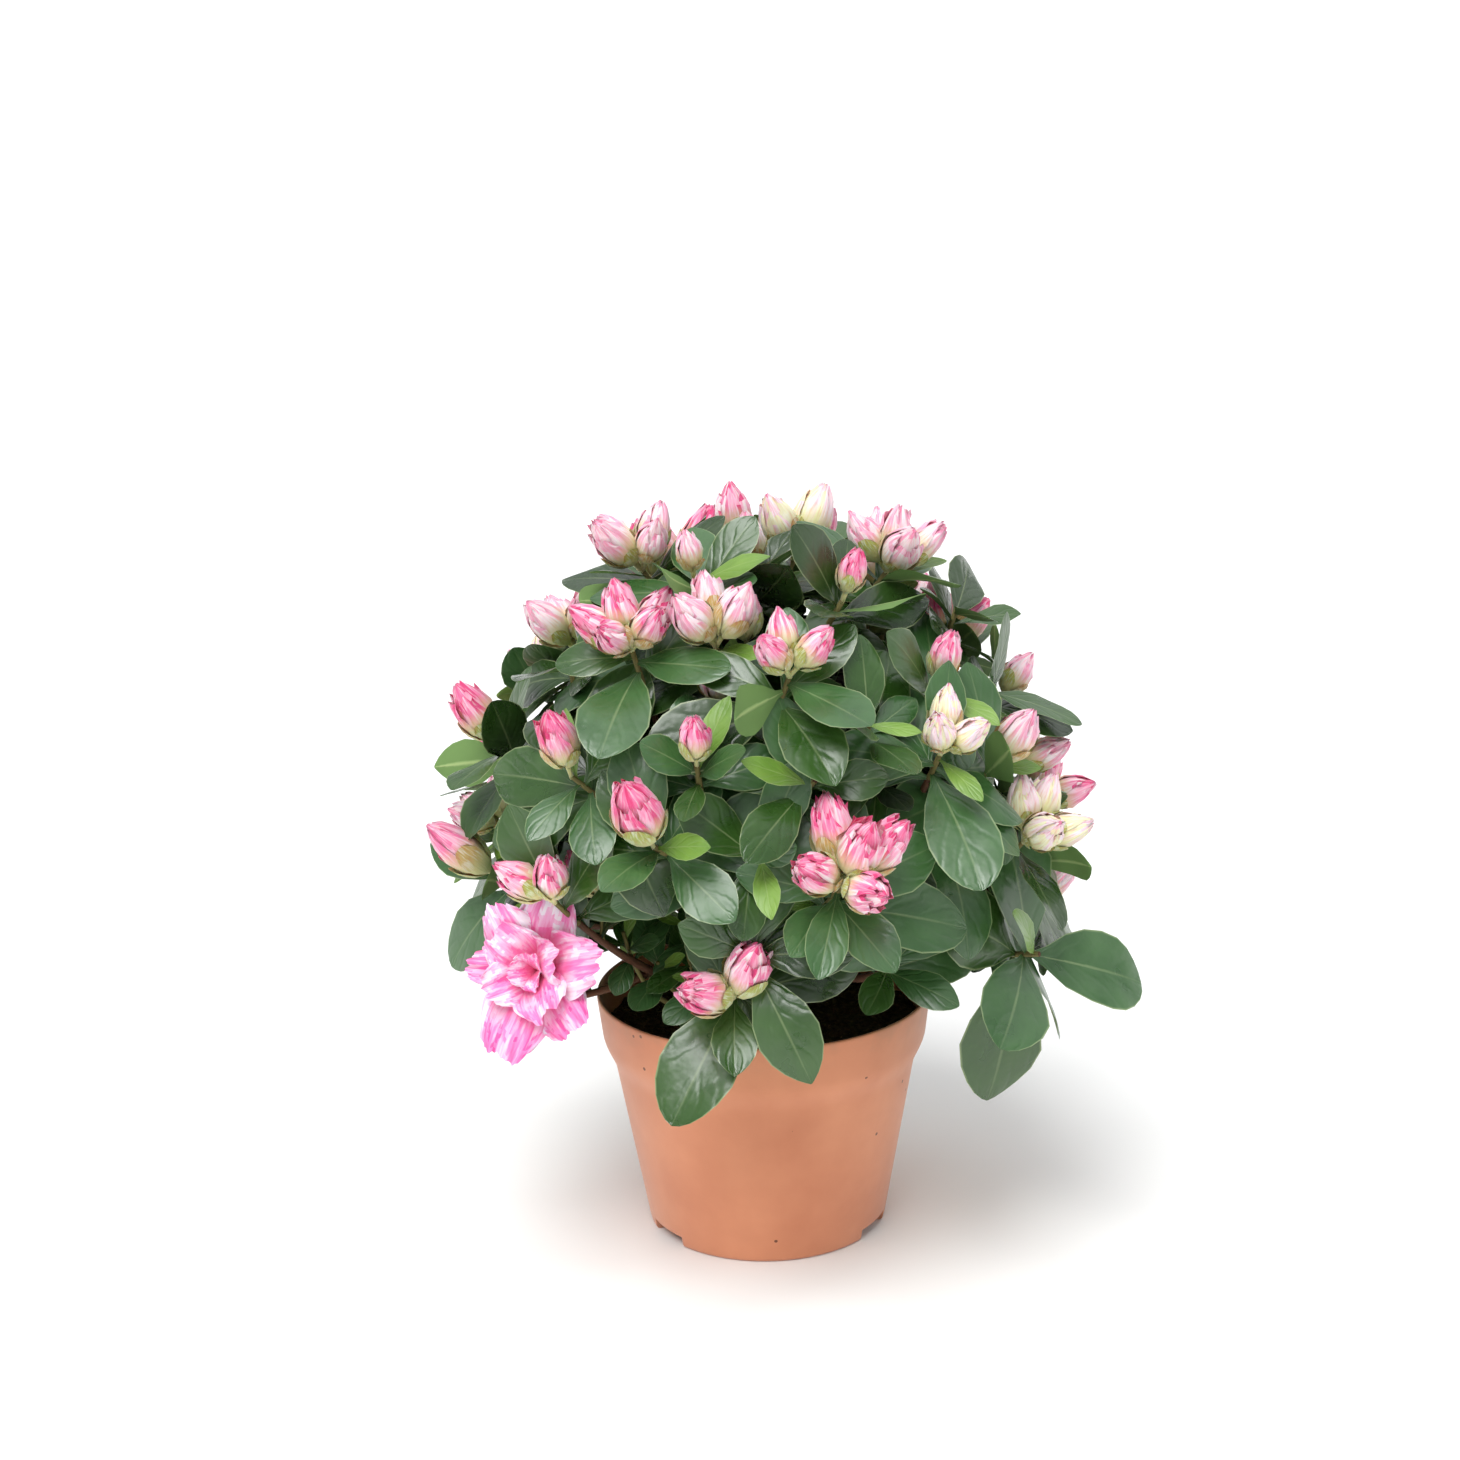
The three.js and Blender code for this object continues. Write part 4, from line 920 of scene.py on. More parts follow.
def place_leaf(leaf, turn, spread):
    """Tries the leaf as it would grow, then shorter, raised or swung round, and keeps the first
    position in which its coarser grid crosses no other leaf, bud, limb or part of the pot. Leaves
    on the outside of the crown hang lower than those on the inside, and all face outward."""
    axis = leaf["spray"]["axis"]
    side = unit(np.cross(axis, np.array([0.0, 1.0, 0.0])))
    full = leaf["length"]
    radial = leaf["spray"]["hub"] * np.array([1, 1, 0]) / CROWN_RADIUS
    lit = min(max((LIGHT_BACK - leaf["spray"]["hub"][1]) / (2 * LIGHT_BACK), 0), 1)
    pull = LIGHT_PULL * lit * leaf["spray"].get("leaf_size", 1.0) ** 4
    for share, lift, swing in LEAF_TRIALS:
        across = turned(side, axis, np.array(turn + swing))
        outward = across @ radial
        leaf["facing"] = unit(axis + LEAF_OUTWARD * (1 - max(outward, 0)) * radial + pull * TO_LIGHT)
        tilt = math.radians(spread - lift + LEAF_DROOP * outward)
        leaf["direction"] = unit(axis * math.cos(tilt) + across * math.sin(tilt))
        leaf["facing"] = turned(leaf["facing"], leaf["direction"], np.array(leaf["roll"]))
        leaf["length"] = full * share
        spots = leaf_surface([leaf], TEST_ROWS, TEST_COLUMNS)[0].reshape(-1, 3)
        foot, free = spots[: len(TEST_COLUMNS)], spots[len(TEST_COLUMNS) :]
        middle = free.mean(0)
        low = leaf["spray"].get("low", False)
        if not clear_of_pot(spots).all() or (in_opening(free).any() and not low):
            continue
        if (np.linalg.norm(free[:, None] - bud_middles, axis=-1) < bud_room).any():
            continue
        if (np.linalg.norm(free[:, None] - bough_spots, axis=-1) < bough_room).any():
            continue
        if (np.linalg.norm(free[:, None] - twig_spots, axis=-1) < TWIG_ROOM).any():
            continue
        stalk = LEAF_STALK / leaf["length"]
        foot += (free[: len(TEST_COLUMNS)] - foot) * stalk / TEST_ROWS[1]
        triangles, edges = spots[TEST_TRIANGLES], spots[TEST_EDGES]
        near_buds = np.linalg.norm(bud_lines[:, 0] - middle, axis=1) < BUD_SEARCH
        if near_buds.any() and crossing(bud_lines[near_buds], triangles):
            continue
        if placed:
            apart = np.linalg.norm(np.array(placed_middles) - middle, axis=1)
            near = apart < NEIGHBOUR_ROOM + 0.5 * (np.array(placed_lengths) + leaf["length"])
            if near.any():
                others = np.flatnonzero(near)
                other_triangles = np.concatenate([placed_triangles[i] for i in others])
                other_edges = np.concatenate([placed_edges[i] for i in others])
                if crossing(edges, other_triangles) or crossing(other_edges, triangles):
                    continue
        placed.append(leaf)
        placed_triangles.append(triangles)
        placed_edges.append(edges)
        placed_middles.append(middle)
        placed_lengths.append(leaf["length"])
        return


draw = dealer(60493)
waiting = []
for spray in sprays:
    inner = spray["rank"] == 1
    drooping = spray.get("drooping", False)
    number = LEAVES_IN_SHOOT if inner else LEAVES_IN_SPRAY + (0 if drooping else OLD_LEAVES)
    leaf_size = spray.get("leaf_size", 1.0)
    curve_length = np.linalg.norm(spray["hub"] - spray["curve"][0])
    tone = draw()
    for k in range(number):
        age = min(k / (LEAVES_IN_SPRAY - 1), 1.0)
        old = max(k - LEAVES_IN_SPRAY + 1, 0)
        back = WHORL_START + WHORL_STEP * k + OLD_LEAF_STEP * old
        if back > LOWEST_LEAF * curve_length:
            break
        crowd = CROWDED_SPREAD if spray["buds"] > 2 and k < 4 else 0
        fresh = k == 0 and (tone > 0.5 or spray.get("low", False))
        grown = LEAF_LENGTH * spray["size"] * (0.7 + 0.34 * age) * draw(0.8, 1.24) * leaf_size
        leaf = dict(
            foot=bezier(*spray["curve"], [1 - back / curve_length])[0],
            length=min(grown, LONGEST_LEAF * leaf_size**0.5) * (1 - 0.2 * fresh),
            width=LEAF_WIDTH * draw(0.86, 1.14) * (1 - 0.3 * fresh) * leaf_size**0.4,
            point=draw(0.56, 0.78) - (0.12 if leaf_size > 1.05 else 0.0),
            bend=draw(8, 26) + 14 * age,
            twist=draw(-24, 24),
            fold=draw(0.1, 0.34),
            curl=draw(0.1, 0.3),
            wave=draw(),
            age=age,
            roll=0.0,
            fresh=fresh,
            tone=tone + draw(-0.25, 0.25),
            spray=spray,
        )
        turn = spray["turn"] + k * GOLDEN_ANGLE + draw(-10, 10)
        spread = LEAF_SPREAD[0] + (LEAF_SPREAD[1] - LEAF_SPREAD[0]) * age + crowd + draw(-8, 8)
        if k in (1, 2) and not inner and leaf["wave"] < UPRIGHT_SHARE:
            spread = UPRIGHT_SPREAD
        if k == 1 and leaf_size > HELD_OUT_SIZE:
            spread = HELD_OUT_SPREAD
        if k in (2, 3, 4, 5) and not inner and leaf["wave"] > 1 - ROLLED_SHARE:
            leaf["roll"] = ROLLED_ANGLE
        waiting.append((inner, k, leaf, turn, spread + (DROOPING_SPREAD if drooping else 0)))
# The outer sprays go first, and each spray gets its first leaf before any gets its second.
waiting.sort(key=lambda row: (row[0], row[1]))
for _, _, leaf, turn, spread in waiting:
    place_leaf(leaf, turn, spread)


def shells(surface, thickness):
    """Thin closed sheets. surface (sheets, rows, columns, 3) is the upper side, and the lower side
    lies under its inner points by the thickness and shares its edge. Gives points, the faces of
    the upper and of the lower side, and which points are on the edge."""
    sheets, rows, columns, _ = surface.shape
    along, across = np.gradient(surface, axis=1), np.gradient(surface, axis=2)
    normal = np.cross(across, along)
    normal /= np.maximum(np.linalg.norm(normal, axis=-1, keepdims=True), 1e-9)
    under = (surface - normal * thickness)[:, 1:-1, 1:-1]
    inner_points = (rows - 2) * (columns - 2)
    lower_number = np.arange(rows * columns).reshape(rows, columns)
    lower_number[1:-1, 1:-1] = rows * columns + np.arange(inner_points).reshape(rows - 2, -1)
    quad = lattice(rows, columns, False)
    first = np.arange(sheets)[:, None, None] * (rows * columns + inner_points)
    upper = quad[None] + first
    lower = lower_number.ravel()[quad][:, [0, 3, 2, 1]][None] + first
    points = np.concatenate([surface.reshape(sheets, -1, 3), under.reshape(sheets, -1, 3)], 1)
    edge = np.ones((rows, columns), bool)
    edge[1:-1, 1:-1] = False
    edge = np.concatenate([edge.ravel(), np.zeros(inner_points, bool)])
    return points, upper, lower, np.tile(edge, sheets)


def sheet_uv(rows, columns, sheets):
    """The share across a sheet, 0 to 1, and the share along it, for each of its points."""
    u, v = np.meshgrid((columns - columns[0]) / (columns[-1] - columns[0]), rows)
    top = np.stack([u, v], -1)
    both = np.concatenate([top.reshape(-1, 2), top[1:-1, 1:-1].reshape(-1, 2)])
    return np.tile(both, (sheets, 1))


# Leaf skins: the upper side is leathery and dark, quilted between a sunken midrib and four pairs of
# side veins, with a thin pale edge, pale partly from its hairs and partly as a painted rim highlight,
# and its wax shines where it mirrors the sky. The under side is paler and matt. Each skin's greens
# are dealt out by spray, the youngest yellow-green; the darkest skin is painted shade, given to the
# leaves of the inner shoots.
LEAF_SKINS = (
    ("painted_shade_leaf_wax", "#203514", 0.32),
    ("old_leaf_wax", "#294417", 0.26),
    ("leaf_wax", "#36591F", 0.29),
    ("bluish_leaf_wax", "#416837", 0.32),
    ("young_leaf_wax", "#7A9F3C", 0.4),
)
UNDERSIDES = (("leaf_underside", "#6C8C50"), ("young_leaf_underside", "#92AE5E"))
PAINTED_SHADE, OLD, PLAIN, BLUISH, YOUNG, UNDER, YOUNG_UNDER = range(7)
# Pale tint of the midrib and of the leaf's hairy edge, where it is also a painted rim highlight.
LEAF_HAIR_AND_RIM_HIGHLIGHT = "#C3D09B"
UNDERSIDE_MIDRIB = "#B4C887"
VEIN_PAIRS = 4.0
VEIN_SWEEP = 0.85
VEIN_WANDER = 0.3
BLUISH_TONE = 0.62  # the tones of leaf from which its skin is bluish, or plain
PLAIN_TONE = 0.22


def leaf_shares(tree):
    """The share across a leaf, 0 at the midrib and 0.5 at the edge, and the share along it."""
    own = add(tree, "ShaderNodeUVMap", uv_map="UVMap").outputs[0]
    split = add(tree, "ShaderNodeSeparateXYZ", {0: own})
    centred = maths(tree, "SUBTRACT", split.outputs[0], 0.5)
    return maths(tree, "ABSOLUTE", centred), split.outputs[1]


leaf_finishes = []
for name, colour, wax in LEAF_SKINS:
    material, tree, shader = finish_of(name, Specular_IOR_Level=0.8)
    aside, along = leaf_shares(tree)
    place = add(tree, "ShaderNodeTexCoord").outputs["Object"]
    cloud = noise(tree, place, 70.0, 3.0)
    slant = maths(tree, "MULTIPLY", aside, -VEIN_SWEEP)
    strayed = maths(tree, "MULTIPLY_ADD", cloud, VEIN_WANDER, slant)
    swept = maths(tree, "ADD", along, strayed)
    waved = maths(tree, "SINE", maths(tree, "MULTIPLY", swept, VEIN_PAIRS * math.pi))
    puffed = maths(tree, "ABSOLUTE", waved)
    between = ranged(tree, puffed, 0.0, 0.75, interpolation_type="SMOOTHSTEP")
    height = maths(tree, "MULTIPLY", between, ranged(tree, aside, 0.0, 0.07))
    dark = linear(colour)
    deeper = (dark[0] * 0.6, dark[1] * 0.7, dark[2] * 0.62, 1.0)
    body = mixed(tree, ranged(tree, cloud, 0.3, 0.7), deeper, dark)
    pale = tuple(c * 0.55 + 0.45 * p for c, p in zip(dark, linear(LEAF_HAIR_AND_RIM_HIGHLIGHT)))
    midrib = ranged(tree, aside, 0.006, 0.026, 0.6, 0.0)
    ribbed = maths(tree, "MULTIPLY", midrib, ranged(tree, along, 0.2, 0.9, 1.0, 0.25))
    # The pale edge: partly the colour of its hairs, partly a painted rim highlight.
    hairy_edge_and_rim_highlight = ranged(tree, aside, 0.472, 0.495, 0.0, 0.85)
    skin = mixed(tree, maths(tree, "MAXIMUM", ribbed, hairy_edge_and_rim_highlight), body, pale)
    tree.links.new(skin, shader.inputs["Base Color"])
    satin = ranged(tree, cloud, 0.3, 0.7, wax - 0.06, wax + 0.12)
    tree.links.new(satin, shader.inputs["Roughness"])
    roughen(tree, shader, maths(tree, "MULTIPLY_ADD", height, 0.1, cloud), 0.6, 0.0015)
    leaf_finishes.append(material)
for name, colour in UNDERSIDES:
    material, tree, shader = finish_of(name, Roughness=0.7, Specular_IOR_Level=0.3)
    aside, _ = leaf_shares(tree)
    midrib = ranged(tree, aside, 0.01, 0.06, 0.6, 0.0)
    ribbed = mixed(tree, midrib, linear(colour), linear(UNDERSIDE_MIDRIB))
    tree.links.new(ribbed, shader.inputs["Base Color"])
    roughen(tree, shader, midrib, 0.4, 0.0005)
    leaf_finishes.append(material)

for ring in ("crown", "shoulder", "skirt"):
    chosen = [leaf for leaf in placed if ring in leaf["spray"]["mass"]["name"]]
    surface = leaf_surface(chosen, LEAF_ROWS, LEAF_COLUMNS)
    leaf_points, upper, lower, edge = shells(surface, LEAF_THICKNESS)
    tones = np.array([leaf["tone"] - 0.1 * leaf["age"] for leaf in chosen])
    young = np.array([leaf["fresh"] for leaf in chosen])
    # The leaves of the inner shoots, but not the low ones, take the darkest skin: painted shade for the
    # inside of the crown.
    inside = np.array([leaf["spray"]["rank"] == 1 and "low" not in leaf["spray"] for leaf in chosen])
    sorts = [young, inside, tones > BLUISH_TONE, tones > PLAIN_TONE]
    green = np.select(sorts, [YOUNG, PAINTED_SHADE, BLUISH, PLAIN], OLD)
    underside = np.where(young, YOUNG_UNDER, UNDER)
    finish = np.concatenate(
        [np.repeat(green, upper.shape[1]), np.repeat(underside, lower.shape[1])]
    )
    new_piece(
        f"leaves_{ring}",
        [name for name in mass_names if ring in name],
        leaf_points.reshape(-1, 3),
        [upper.reshape(-1, 4), lower.reshape(-1, 4)],
        leaf_finishes,
        finish,
        sheet_uv(LEAF_ROWS, LEAF_COLUMNS, len(chosen)),
        edge,
    )

# Buds: tight eggs of overlapping petals that are about to open, on a few green scales and a short
# green stalk. Petals are thin and crinkled at their tips, pink with paler stripes, and
# yellow-green at their feet, where the scales shut them in. The inner ones are rolled up as one egg.
PETAL_THICKNESS = 0.35
PETALS_IN_BUD = 5
SCALES_ON_BUD = 4
SCALE_SINK = 0.8  # how far the scales' feet and the stalk's root are sunk
PETAL_ROWS = np.array([0, 0.25, 0.5, 0.72, 0.88, 1.0])
PETAL_COLUMNS = np.linspace(-1, 1, 8)
SCALE_ROWS = np.linspace(0, 1, 5)
SCALE_COLUMNS = np.linspace(-1, 1, 5)
EGG_ROWS = np.array([0.02, 0.2, 0.4, 0.6, 0.8, 0.93, 1.0])
EGG_COLUMNS = 14


def egg_radius(height):
    """A bud's outline: the sine of pi times the share of its height to the power 0.87, to 0.68."""
    return np.sin(np.pi * np.clip(height * 0.95 + 0.03, 0, 1) ** 0.87) ** 0.68


def ways_out(axis, angle):
    """Unit vectors square to each axis, one for each angle round it."""
    start = unit(np.cross(axis, np.array([0.31, 0.82, 0.48])))
    other = np.cross(axis, start)
    lengthwise, crosswise = np.cos(angle)[..., None], np.sin(angle)[..., None]
    return start[:, None, None] * lengthwise + other[:, None, None] * crosswise


def bud_petals(table, rows, columns):
    """Petals wrapped on an egg. Each spans an angle that narrows to its tip, its one edge lies
    over the next petal, and its top is frilled by waves across it."""
    take = lambda key: np.array([petal[key] for petal in table])[:, None, None]
    axis = np.array([petal["axis"] for petal in table])
    t, c = rows[None, :, None], columns[None, None, :]
    height = t * take("top")
    shape = np.sin(np.pi * (0.2 + 0.8 * t) ** 0.8) ** 0.3
    shape = np.where(t > 0.99, 0.62, np.maximum(shape, 0.62))
    angle = take("turn") + c * take("span") * shape
    frill = np.clip((t - 0.6) / 0.4, 0, 1)
    radius = np.maximum(egg_radius(height), 0.12) * take("radius") * take("inset")
    radius = radius + take("overlap") * c * np.minimum(1, 3 * t) + take("flare") * frill**2
    radius = radius + take("crinkle") * frill * np.sin(6 * c + take("phase"))
    radius = radius + 0.8 * take("crinkle") * np.abs(c) ** 3 * np.sin(11 * t + take("phase"))
    tall = height * take("length") + take("crinkle") * 1.3 * frill * np.sin(8 * c + 2 * take("phase"))
    tall = tall - 1.9 * frill * np.abs(c) ** 3
    out = ways_out(axis, angle) * np.maximum(radius, 0.3)[..., None]
    foot = np.array([petal["foot"] for petal in table])[:, None, None]
    return foot + axis[:, None, None] * tall[..., None] + out


def bud_hearts(table):
    """The rolled inner petals of each bud, as rings round its axis: the egg's outline a little
    inside the outer petals, puckered by waves round it that grow towards the tip."""
    take = lambda key: np.array([b[key] for b in table])[:, None, None]
    axis = np.array([b["direction"] for b in table])
    t = EGG_ROWS[None, :, None]
    angle = (np.arange(EGG_COLUMNS) * 2 * np.pi / EGG_COLUMNS)[None, None, :]
    pucker = 1 + 0.12 * t * np.sin(3 * angle + 9 * take("open") + 5 * t)
    pucker = pucker + 0.2 * t**2 * np.sin(5 * angle - 5 * take("open") + 3 * t)
    radius = np.maximum(egg_radius(t) * 0.86, 0.1) * take("radius") * pucker
    tall = t * take("length") + 0.9 * t**4 * np.sin(5 * angle + 7 * take("open"))
    foot = np.array([b["foot"] for b in table])[:, None, None]
    points = foot + axis[:, None, None] * tall[..., None] + ways_out(axis, angle) * radius[..., None]
    first = np.arange(len(table))[:, None, None] * len(EGG_ROWS) * EGG_COLUMNS
    sides = lattice(len(EGG_ROWS), EGG_COLUMNS, True)[None] + first
    last = (len(EGG_ROWS) - 1) * EGG_COLUMNS
    caps = np.stack([np.arange(EGG_COLUMNS)[::-1], np.arange(EGG_COLUMNS) + last])[None] + first
    across = np.tile(np.arange(EGG_COLUMNS) / 5, (len(EGG_ROWS), 1))
    uv = np.stack([across, np.tile(EGG_ROWS[:, None], (1, EGG_COLUMNS))], -1).reshape(-1, 2)
    uv = np.tile(uv, (len(table), 1))
    return points.reshape(-1, 3), sides.reshape(-1, 4), caps.reshape(-1, EGG_COLUMNS), uv


draw = dealer(31847)
petals, scales = [], []
for b in buds:
    spin = draw(0, 2 * math.pi)
    ruffled = 4.0 * max(b["open"] - 0.55, 0) * (0.3 if b["kind"] == "cream" else 1.0)
    for k in range(PETALS_IN_BUD):
        petals.append(
            dict(
                foot=b["foot"],
                axis=b["direction"],
                length=b["length"],
                radius=b["radius"],
                top=draw(0.76, 1.02),
                turn=spin + (k + draw(-0.15, 0.15)) * 2 * math.pi / PETALS_IN_BUD,
                span=draw(0.86, 1.05),
                inset=draw(0.97, 1.03),
                overlap=0.7,
                flare=ruffled * draw(0.5, 1.4),
                crinkle=draw(0.35, 0.8) + 0.3 * ruffled,
                phase=draw(0, 6.28),
                kind=b["kind"],
                pattern=draw(),
            )
        )
    for k in range(SCALES_ON_BUD):
        scales.append(
            dict(
                foot=b["foot"] - b["direction"] * SCALE_SINK,
                axis=b["direction"],
                length=b["length"],
                radius=b["radius"],
                top=draw(0.36, 0.62),
                turn=spin + 0.5 + k * 2 * math.pi / SCALES_ON_BUD,
                span=draw(0.55, 0.78),
                inset=1.15,
                overlap=0.15,
                flare=0.35,
                crinkle=0.05,
                phase=0.0,
                pattern=draw(),
            )
        )

# Petal colours, plain, and dealt out stripe by stripe: azalea petals are as thin as tissue, so
# they look soft and slightly lit from inside. Bud scales are papery, yellow-green going tan.
PETAL_COLOURS = {
    "deep_pink_petal": "#E24C84",
    "pink_petal": "#F07BA6",
    "blush_petal": "#F8ABC4",
    "white_petal": "#FADBE0",
    "cream_petal": "#F4EAC0",
    "bud_scale_green": "#A9B05A",
    "bud_scale_tan": "#C2A565",
}


def petal_material(name, colour, foot_colour):
    """One petal finish: its colour, run through lengthwise by paler streaks and a few deeper, and
    passing into another colour at the petal's foot, where the share along it is under two thirds."""
    material, tree, shader = finish_of(
        name, Roughness=0.55, Specular_IOR_Level=0.3, Sheen_Weight=0.2, Subsurface_Weight=0.12
    )
    shader.inputs["Subsurface Scale"].default_value = 0.002
    own = add(tree, "ShaderNodeUVMap", uv_map="UVMap").outputs[0]
    fine = streaks(tree, own, 13.0, 2.6)
    tone = linear(colour)
    paler = tuple(c + (1 - c) * 0.5 for c in tone[:3]) + (1.0,)
    deeper = tuple(c * f for c, f in zip(tone[:3], (0.92, 0.5, 0.66))) + (1.0,)
    streaked = mixed(tree, ranged(tree, fine, 0.5, 0.62, 0.0, 0.75), tone, paler)
    lined = mixed(tree, ranged(tree, fine, 0.34, 0.46, 0.8, 0.0), streaked, deeper)
    split = add(tree, "ShaderNodeSeparateXYZ", {0: own})
    ragged = maths(tree, "MULTIPLY_ADD", fine, 0.35, split.outputs[1])
    footed = mixed(tree, ranged(tree, ragged, 0.5, 0.86, 0.92, 0.0), lined, linear(foot_colour))
    tree.links.new(footed, shader.inputs["Base Color"])
    roughen(tree, shader, fine, 0.6, 0.0006)
    return material


BUD_FOOT = "#DDD89A"
petal_finishes = [petal_material(name, colour, BUD_FOOT) for name, colour in PETAL_COLOURS.items()]
DEEP, PINK, BLUSH, WHITE, CREAM, SCALE_GREEN, SCALE_TAN = range(7)
STRAY_SHARE = 0.07  # of faces whose colour strays from their band's
EDGE_SHARE = 0.55  # of edge faces that take the edge colour
TAN_SCALES = 0.6  # the draw above which a scale is tan
# For each kind of bud: the petal colour at the edges, then those in between.
STRIPES = {
    "striped": (DEEP, (PINK, BLUSH, PINK, WHITE, BLUSH)),
    "rose": (DEEP, (PINK, PINK, DEEP, PINK, BLUSH)),
    "long": (PINK, (BLUSH, PINK, BLUSH, PINK, BLUSH)),
    "pale": (BLUSH, (BLUSH, WHITE, WHITE, WHITE, BLUSH)),
    "cream": (WHITE, (CREAM, WHITE, CREAM, CREAM, WHITE)),
}
dice = np.random.default_rng(77)


def striped(kinds, bands, rows):
    """A petal finish for each face. Each band along a petal takes one of its kind's colours at
    random, a few faces stray to another, and the edges and tip often take the edge colour."""
    shape = (len(kinds), rows, bands)
    inside = np.array([STRIPES[kind][1] for kind in kinds])
    edge_colour = np.array([STRIPES[kind][0] for kind in kinds])[:, None, None]
    pick = dice.integers(0, 5, (len(kinds), 1, bands)) + np.zeros(shape, int)
    pick = np.where(dice.uniform(size=shape) < STRAY_SHARE, dice.integers(0, 5, shape), pick)
    finish = np.take_along_axis(inside, pick.reshape(len(kinds), -1), 1).reshape(shape)
    band, row = np.arange(bands)[None, None, :], np.arange(rows)[None, :, None]
    at_edge = (band == 0) | (band == bands - 1) | (row == rows - 1)
    deep = at_edge & (dice.uniform(size=shape) < EDGE_SHARE)
    finish = np.where(deep, edge_colour, finish)
    return finish.reshape(len(kinds), -1)


surface = bud_petals(petals, PETAL_ROWS, PETAL_COLUMNS)[:, :, ::-1]
petal_points, upper, lower, edge = shells(surface, PETAL_THICKNESS)
finish = striped([petal["kind"] for petal in petals], len(PETAL_COLUMNS) - 1, len(PETAL_ROWS) - 1)
scale_surface = bud_petals(scales, SCALE_ROWS, SCALE_COLUMNS)[:, :, ::-1]
scale_points, scale_upper, scale_lower, scale_edge = shells(scale_surface, PETAL_THICKNESS)
scale_tan = np.array([scale["pattern"] > TAN_SCALES for scale in scales])
scale_finish = np.repeat(np.where(scale_tan, SCALE_TAN, SCALE_GREEN), 2 * scale_upper.shape[1])
heart_points, heart_sides, heart_caps, heart_uv = bud_hearts(buds)
heart_finish = striped([b["kind"] for b in buds], EGG_COLUMNS, len(EGG_ROWS) - 1)
STALK_RADII = np.array([0.9, 0.95, 1.5])
STALK_SIDES = 6
stalk_roots = [b["hub"] - b["direction"] * SCALE_SINK for b in buds]
stalk_paths = np.array(
    [[root, (b["hub"] + b["foot"]) / 2, b["foot"] + b["direction"]] for root, b in zip(stalk_roots, buds)]
)
stalk_radii = STALK_RADII[None, :, None] + np.zeros((len(buds), 1, STALK_SIDES))
stalk_points, stalk_faces, stalk_uv = limbs(stalk_paths, stalk_radii)
parts = (petal_points.reshape(-1, 3), scale_points.reshape(-1, 3), heart_points, stalk_points)
starts = np.cumsum([0] + [len(part) for part in parts])
new_piece(
    "buds",
    mass_names,
    np.concatenate(parts),
    [
        np.stack([upper, lower], 1).reshape(-1, 4),
        np.stack([scale_upper, scale_lower], 1).reshape(-1, 4) + starts[1],
        heart_sides + starts[2],
        heart_caps + starts[2],
        *(block + starts[3] for block in stalk_faces),
    ],
    petal_finishes,
    np.concatenate(
        [
            np.stack([finish, finish], 1).ravel(),
            scale_finish,
            heart_finish.ravel(),
            np.full(len(heart_caps), PINK),
            np.full(sum(len(block) for block in stalk_faces), SCALE_GREEN),
        ]
    ),
    np.concatenate(
        [
            sheet_uv(PETAL_ROWS, PETAL_COLUMNS, len(petals)),
            sheet_uv(SCALE_ROWS, SCALE_COLUMNS, len(scales)),
            heart_uv,
            stalk_uv * 10,
        ]
    ),
    np.concatenate([edge, scale_edge, np.zeros(len(heart_points) + len(stalk_points), bool)]),
)

# Open flower: one bloom of about fifty-five millimetres that opened first, low on the left. It is
# half double: six broad ruffled petals, four smaller ones standing up inside them and three
# crumpled in the middle, bright pink marbled with lilac-white, palest along the petals' margins.
FLOWER_ROWS = np.linspace(0, 1, 20)
FLOWER_COLUMNS = np.linspace(-1, 1, 25)
FLOWER_THROAT = "#F0719F"
FLOWER_STALK_RADII = np.array([1.3, 1.3, 2.6])
FLOWER_STALK_SIDES = 8
# Turn from the left, clockwise as the viewer sees it, in degrees; length; half width.
OUTER_PETALS = (
    (3, 29, 8.5),
    (74, 37, 14.5),
    (136, 31, 13.5),
    (196, 36, 13.0),
    (254, 33, 14.5),
    (305, 31, 11.5),
)


def ruffled_petals(table, rows, columns):
    """Petals that spread from a throat. The middle line rises along the flower's axis and curves
    out on a circular arc; the half width is the sine of pi times 0.08 and 0.64 of the share of the
    length; its corners are rounded off, and waves that grow towards the edge lift it."""
    take = lambda key: np.array([petal[key] for petal in table])[:, None, None]
    start = unit(np.cross(FLOWER_HEADING, np.array([0.0, 0.0, 1.0])))
    other = np.cross(FLOWER_HEADING, start)
    t, c = rows[None, :, None], columns[None, None, :]
    outline = 1 - take("notch") * np.exp(-((c / 0.25) ** 2)) - 0.3 * np.abs(c) ** 3
    outline = outline + 0.022 * np.sin(13 * c + 3 * take("phase")) + 0.014 * np.sin(29 * c)
    s = t * outline
    lean, opening = take("lean"), take("opening")
    tilt = lean + opening * s
    out = take("length") * (np.cos(lean) - np.cos(tilt)) / opening
    tall = take("length") * (np.sin(tilt) - np.sin(lean)) / opening
    half = take("width") * np.sin(np.pi * (0.08 + 0.64 * t)) ** 0.8
    wave = take("ruffle") * t**1.3 * np.sin(take("waves") * c + take("phase") + 2 * t)
    wave = wave + 0.34 * take("ruffle") * t**2 * np.sin(3.1 * take("waves") * c + 2 * take("phase"))
    cup = take("cup") * c**2 * t
    radial = out - (wave + cup) * np.sin(tilt) * 0.6
    rise = tall + (wave + cup) * np.cos(tilt - 0.5)
    angle = take("turn")
    heading = start * np.cos(angle)[..., None] + other * np.sin(angle)[..., None]
    sideways = other * np.cos(angle)[..., None] - start * np.sin(angle)[..., None]
    spot = FLOWER_FOOT + FLOWER_HEADING * (rise + take("lift"))[..., None]
    return spot + heading * radial[..., None] + sideways * (half * c)[..., None]


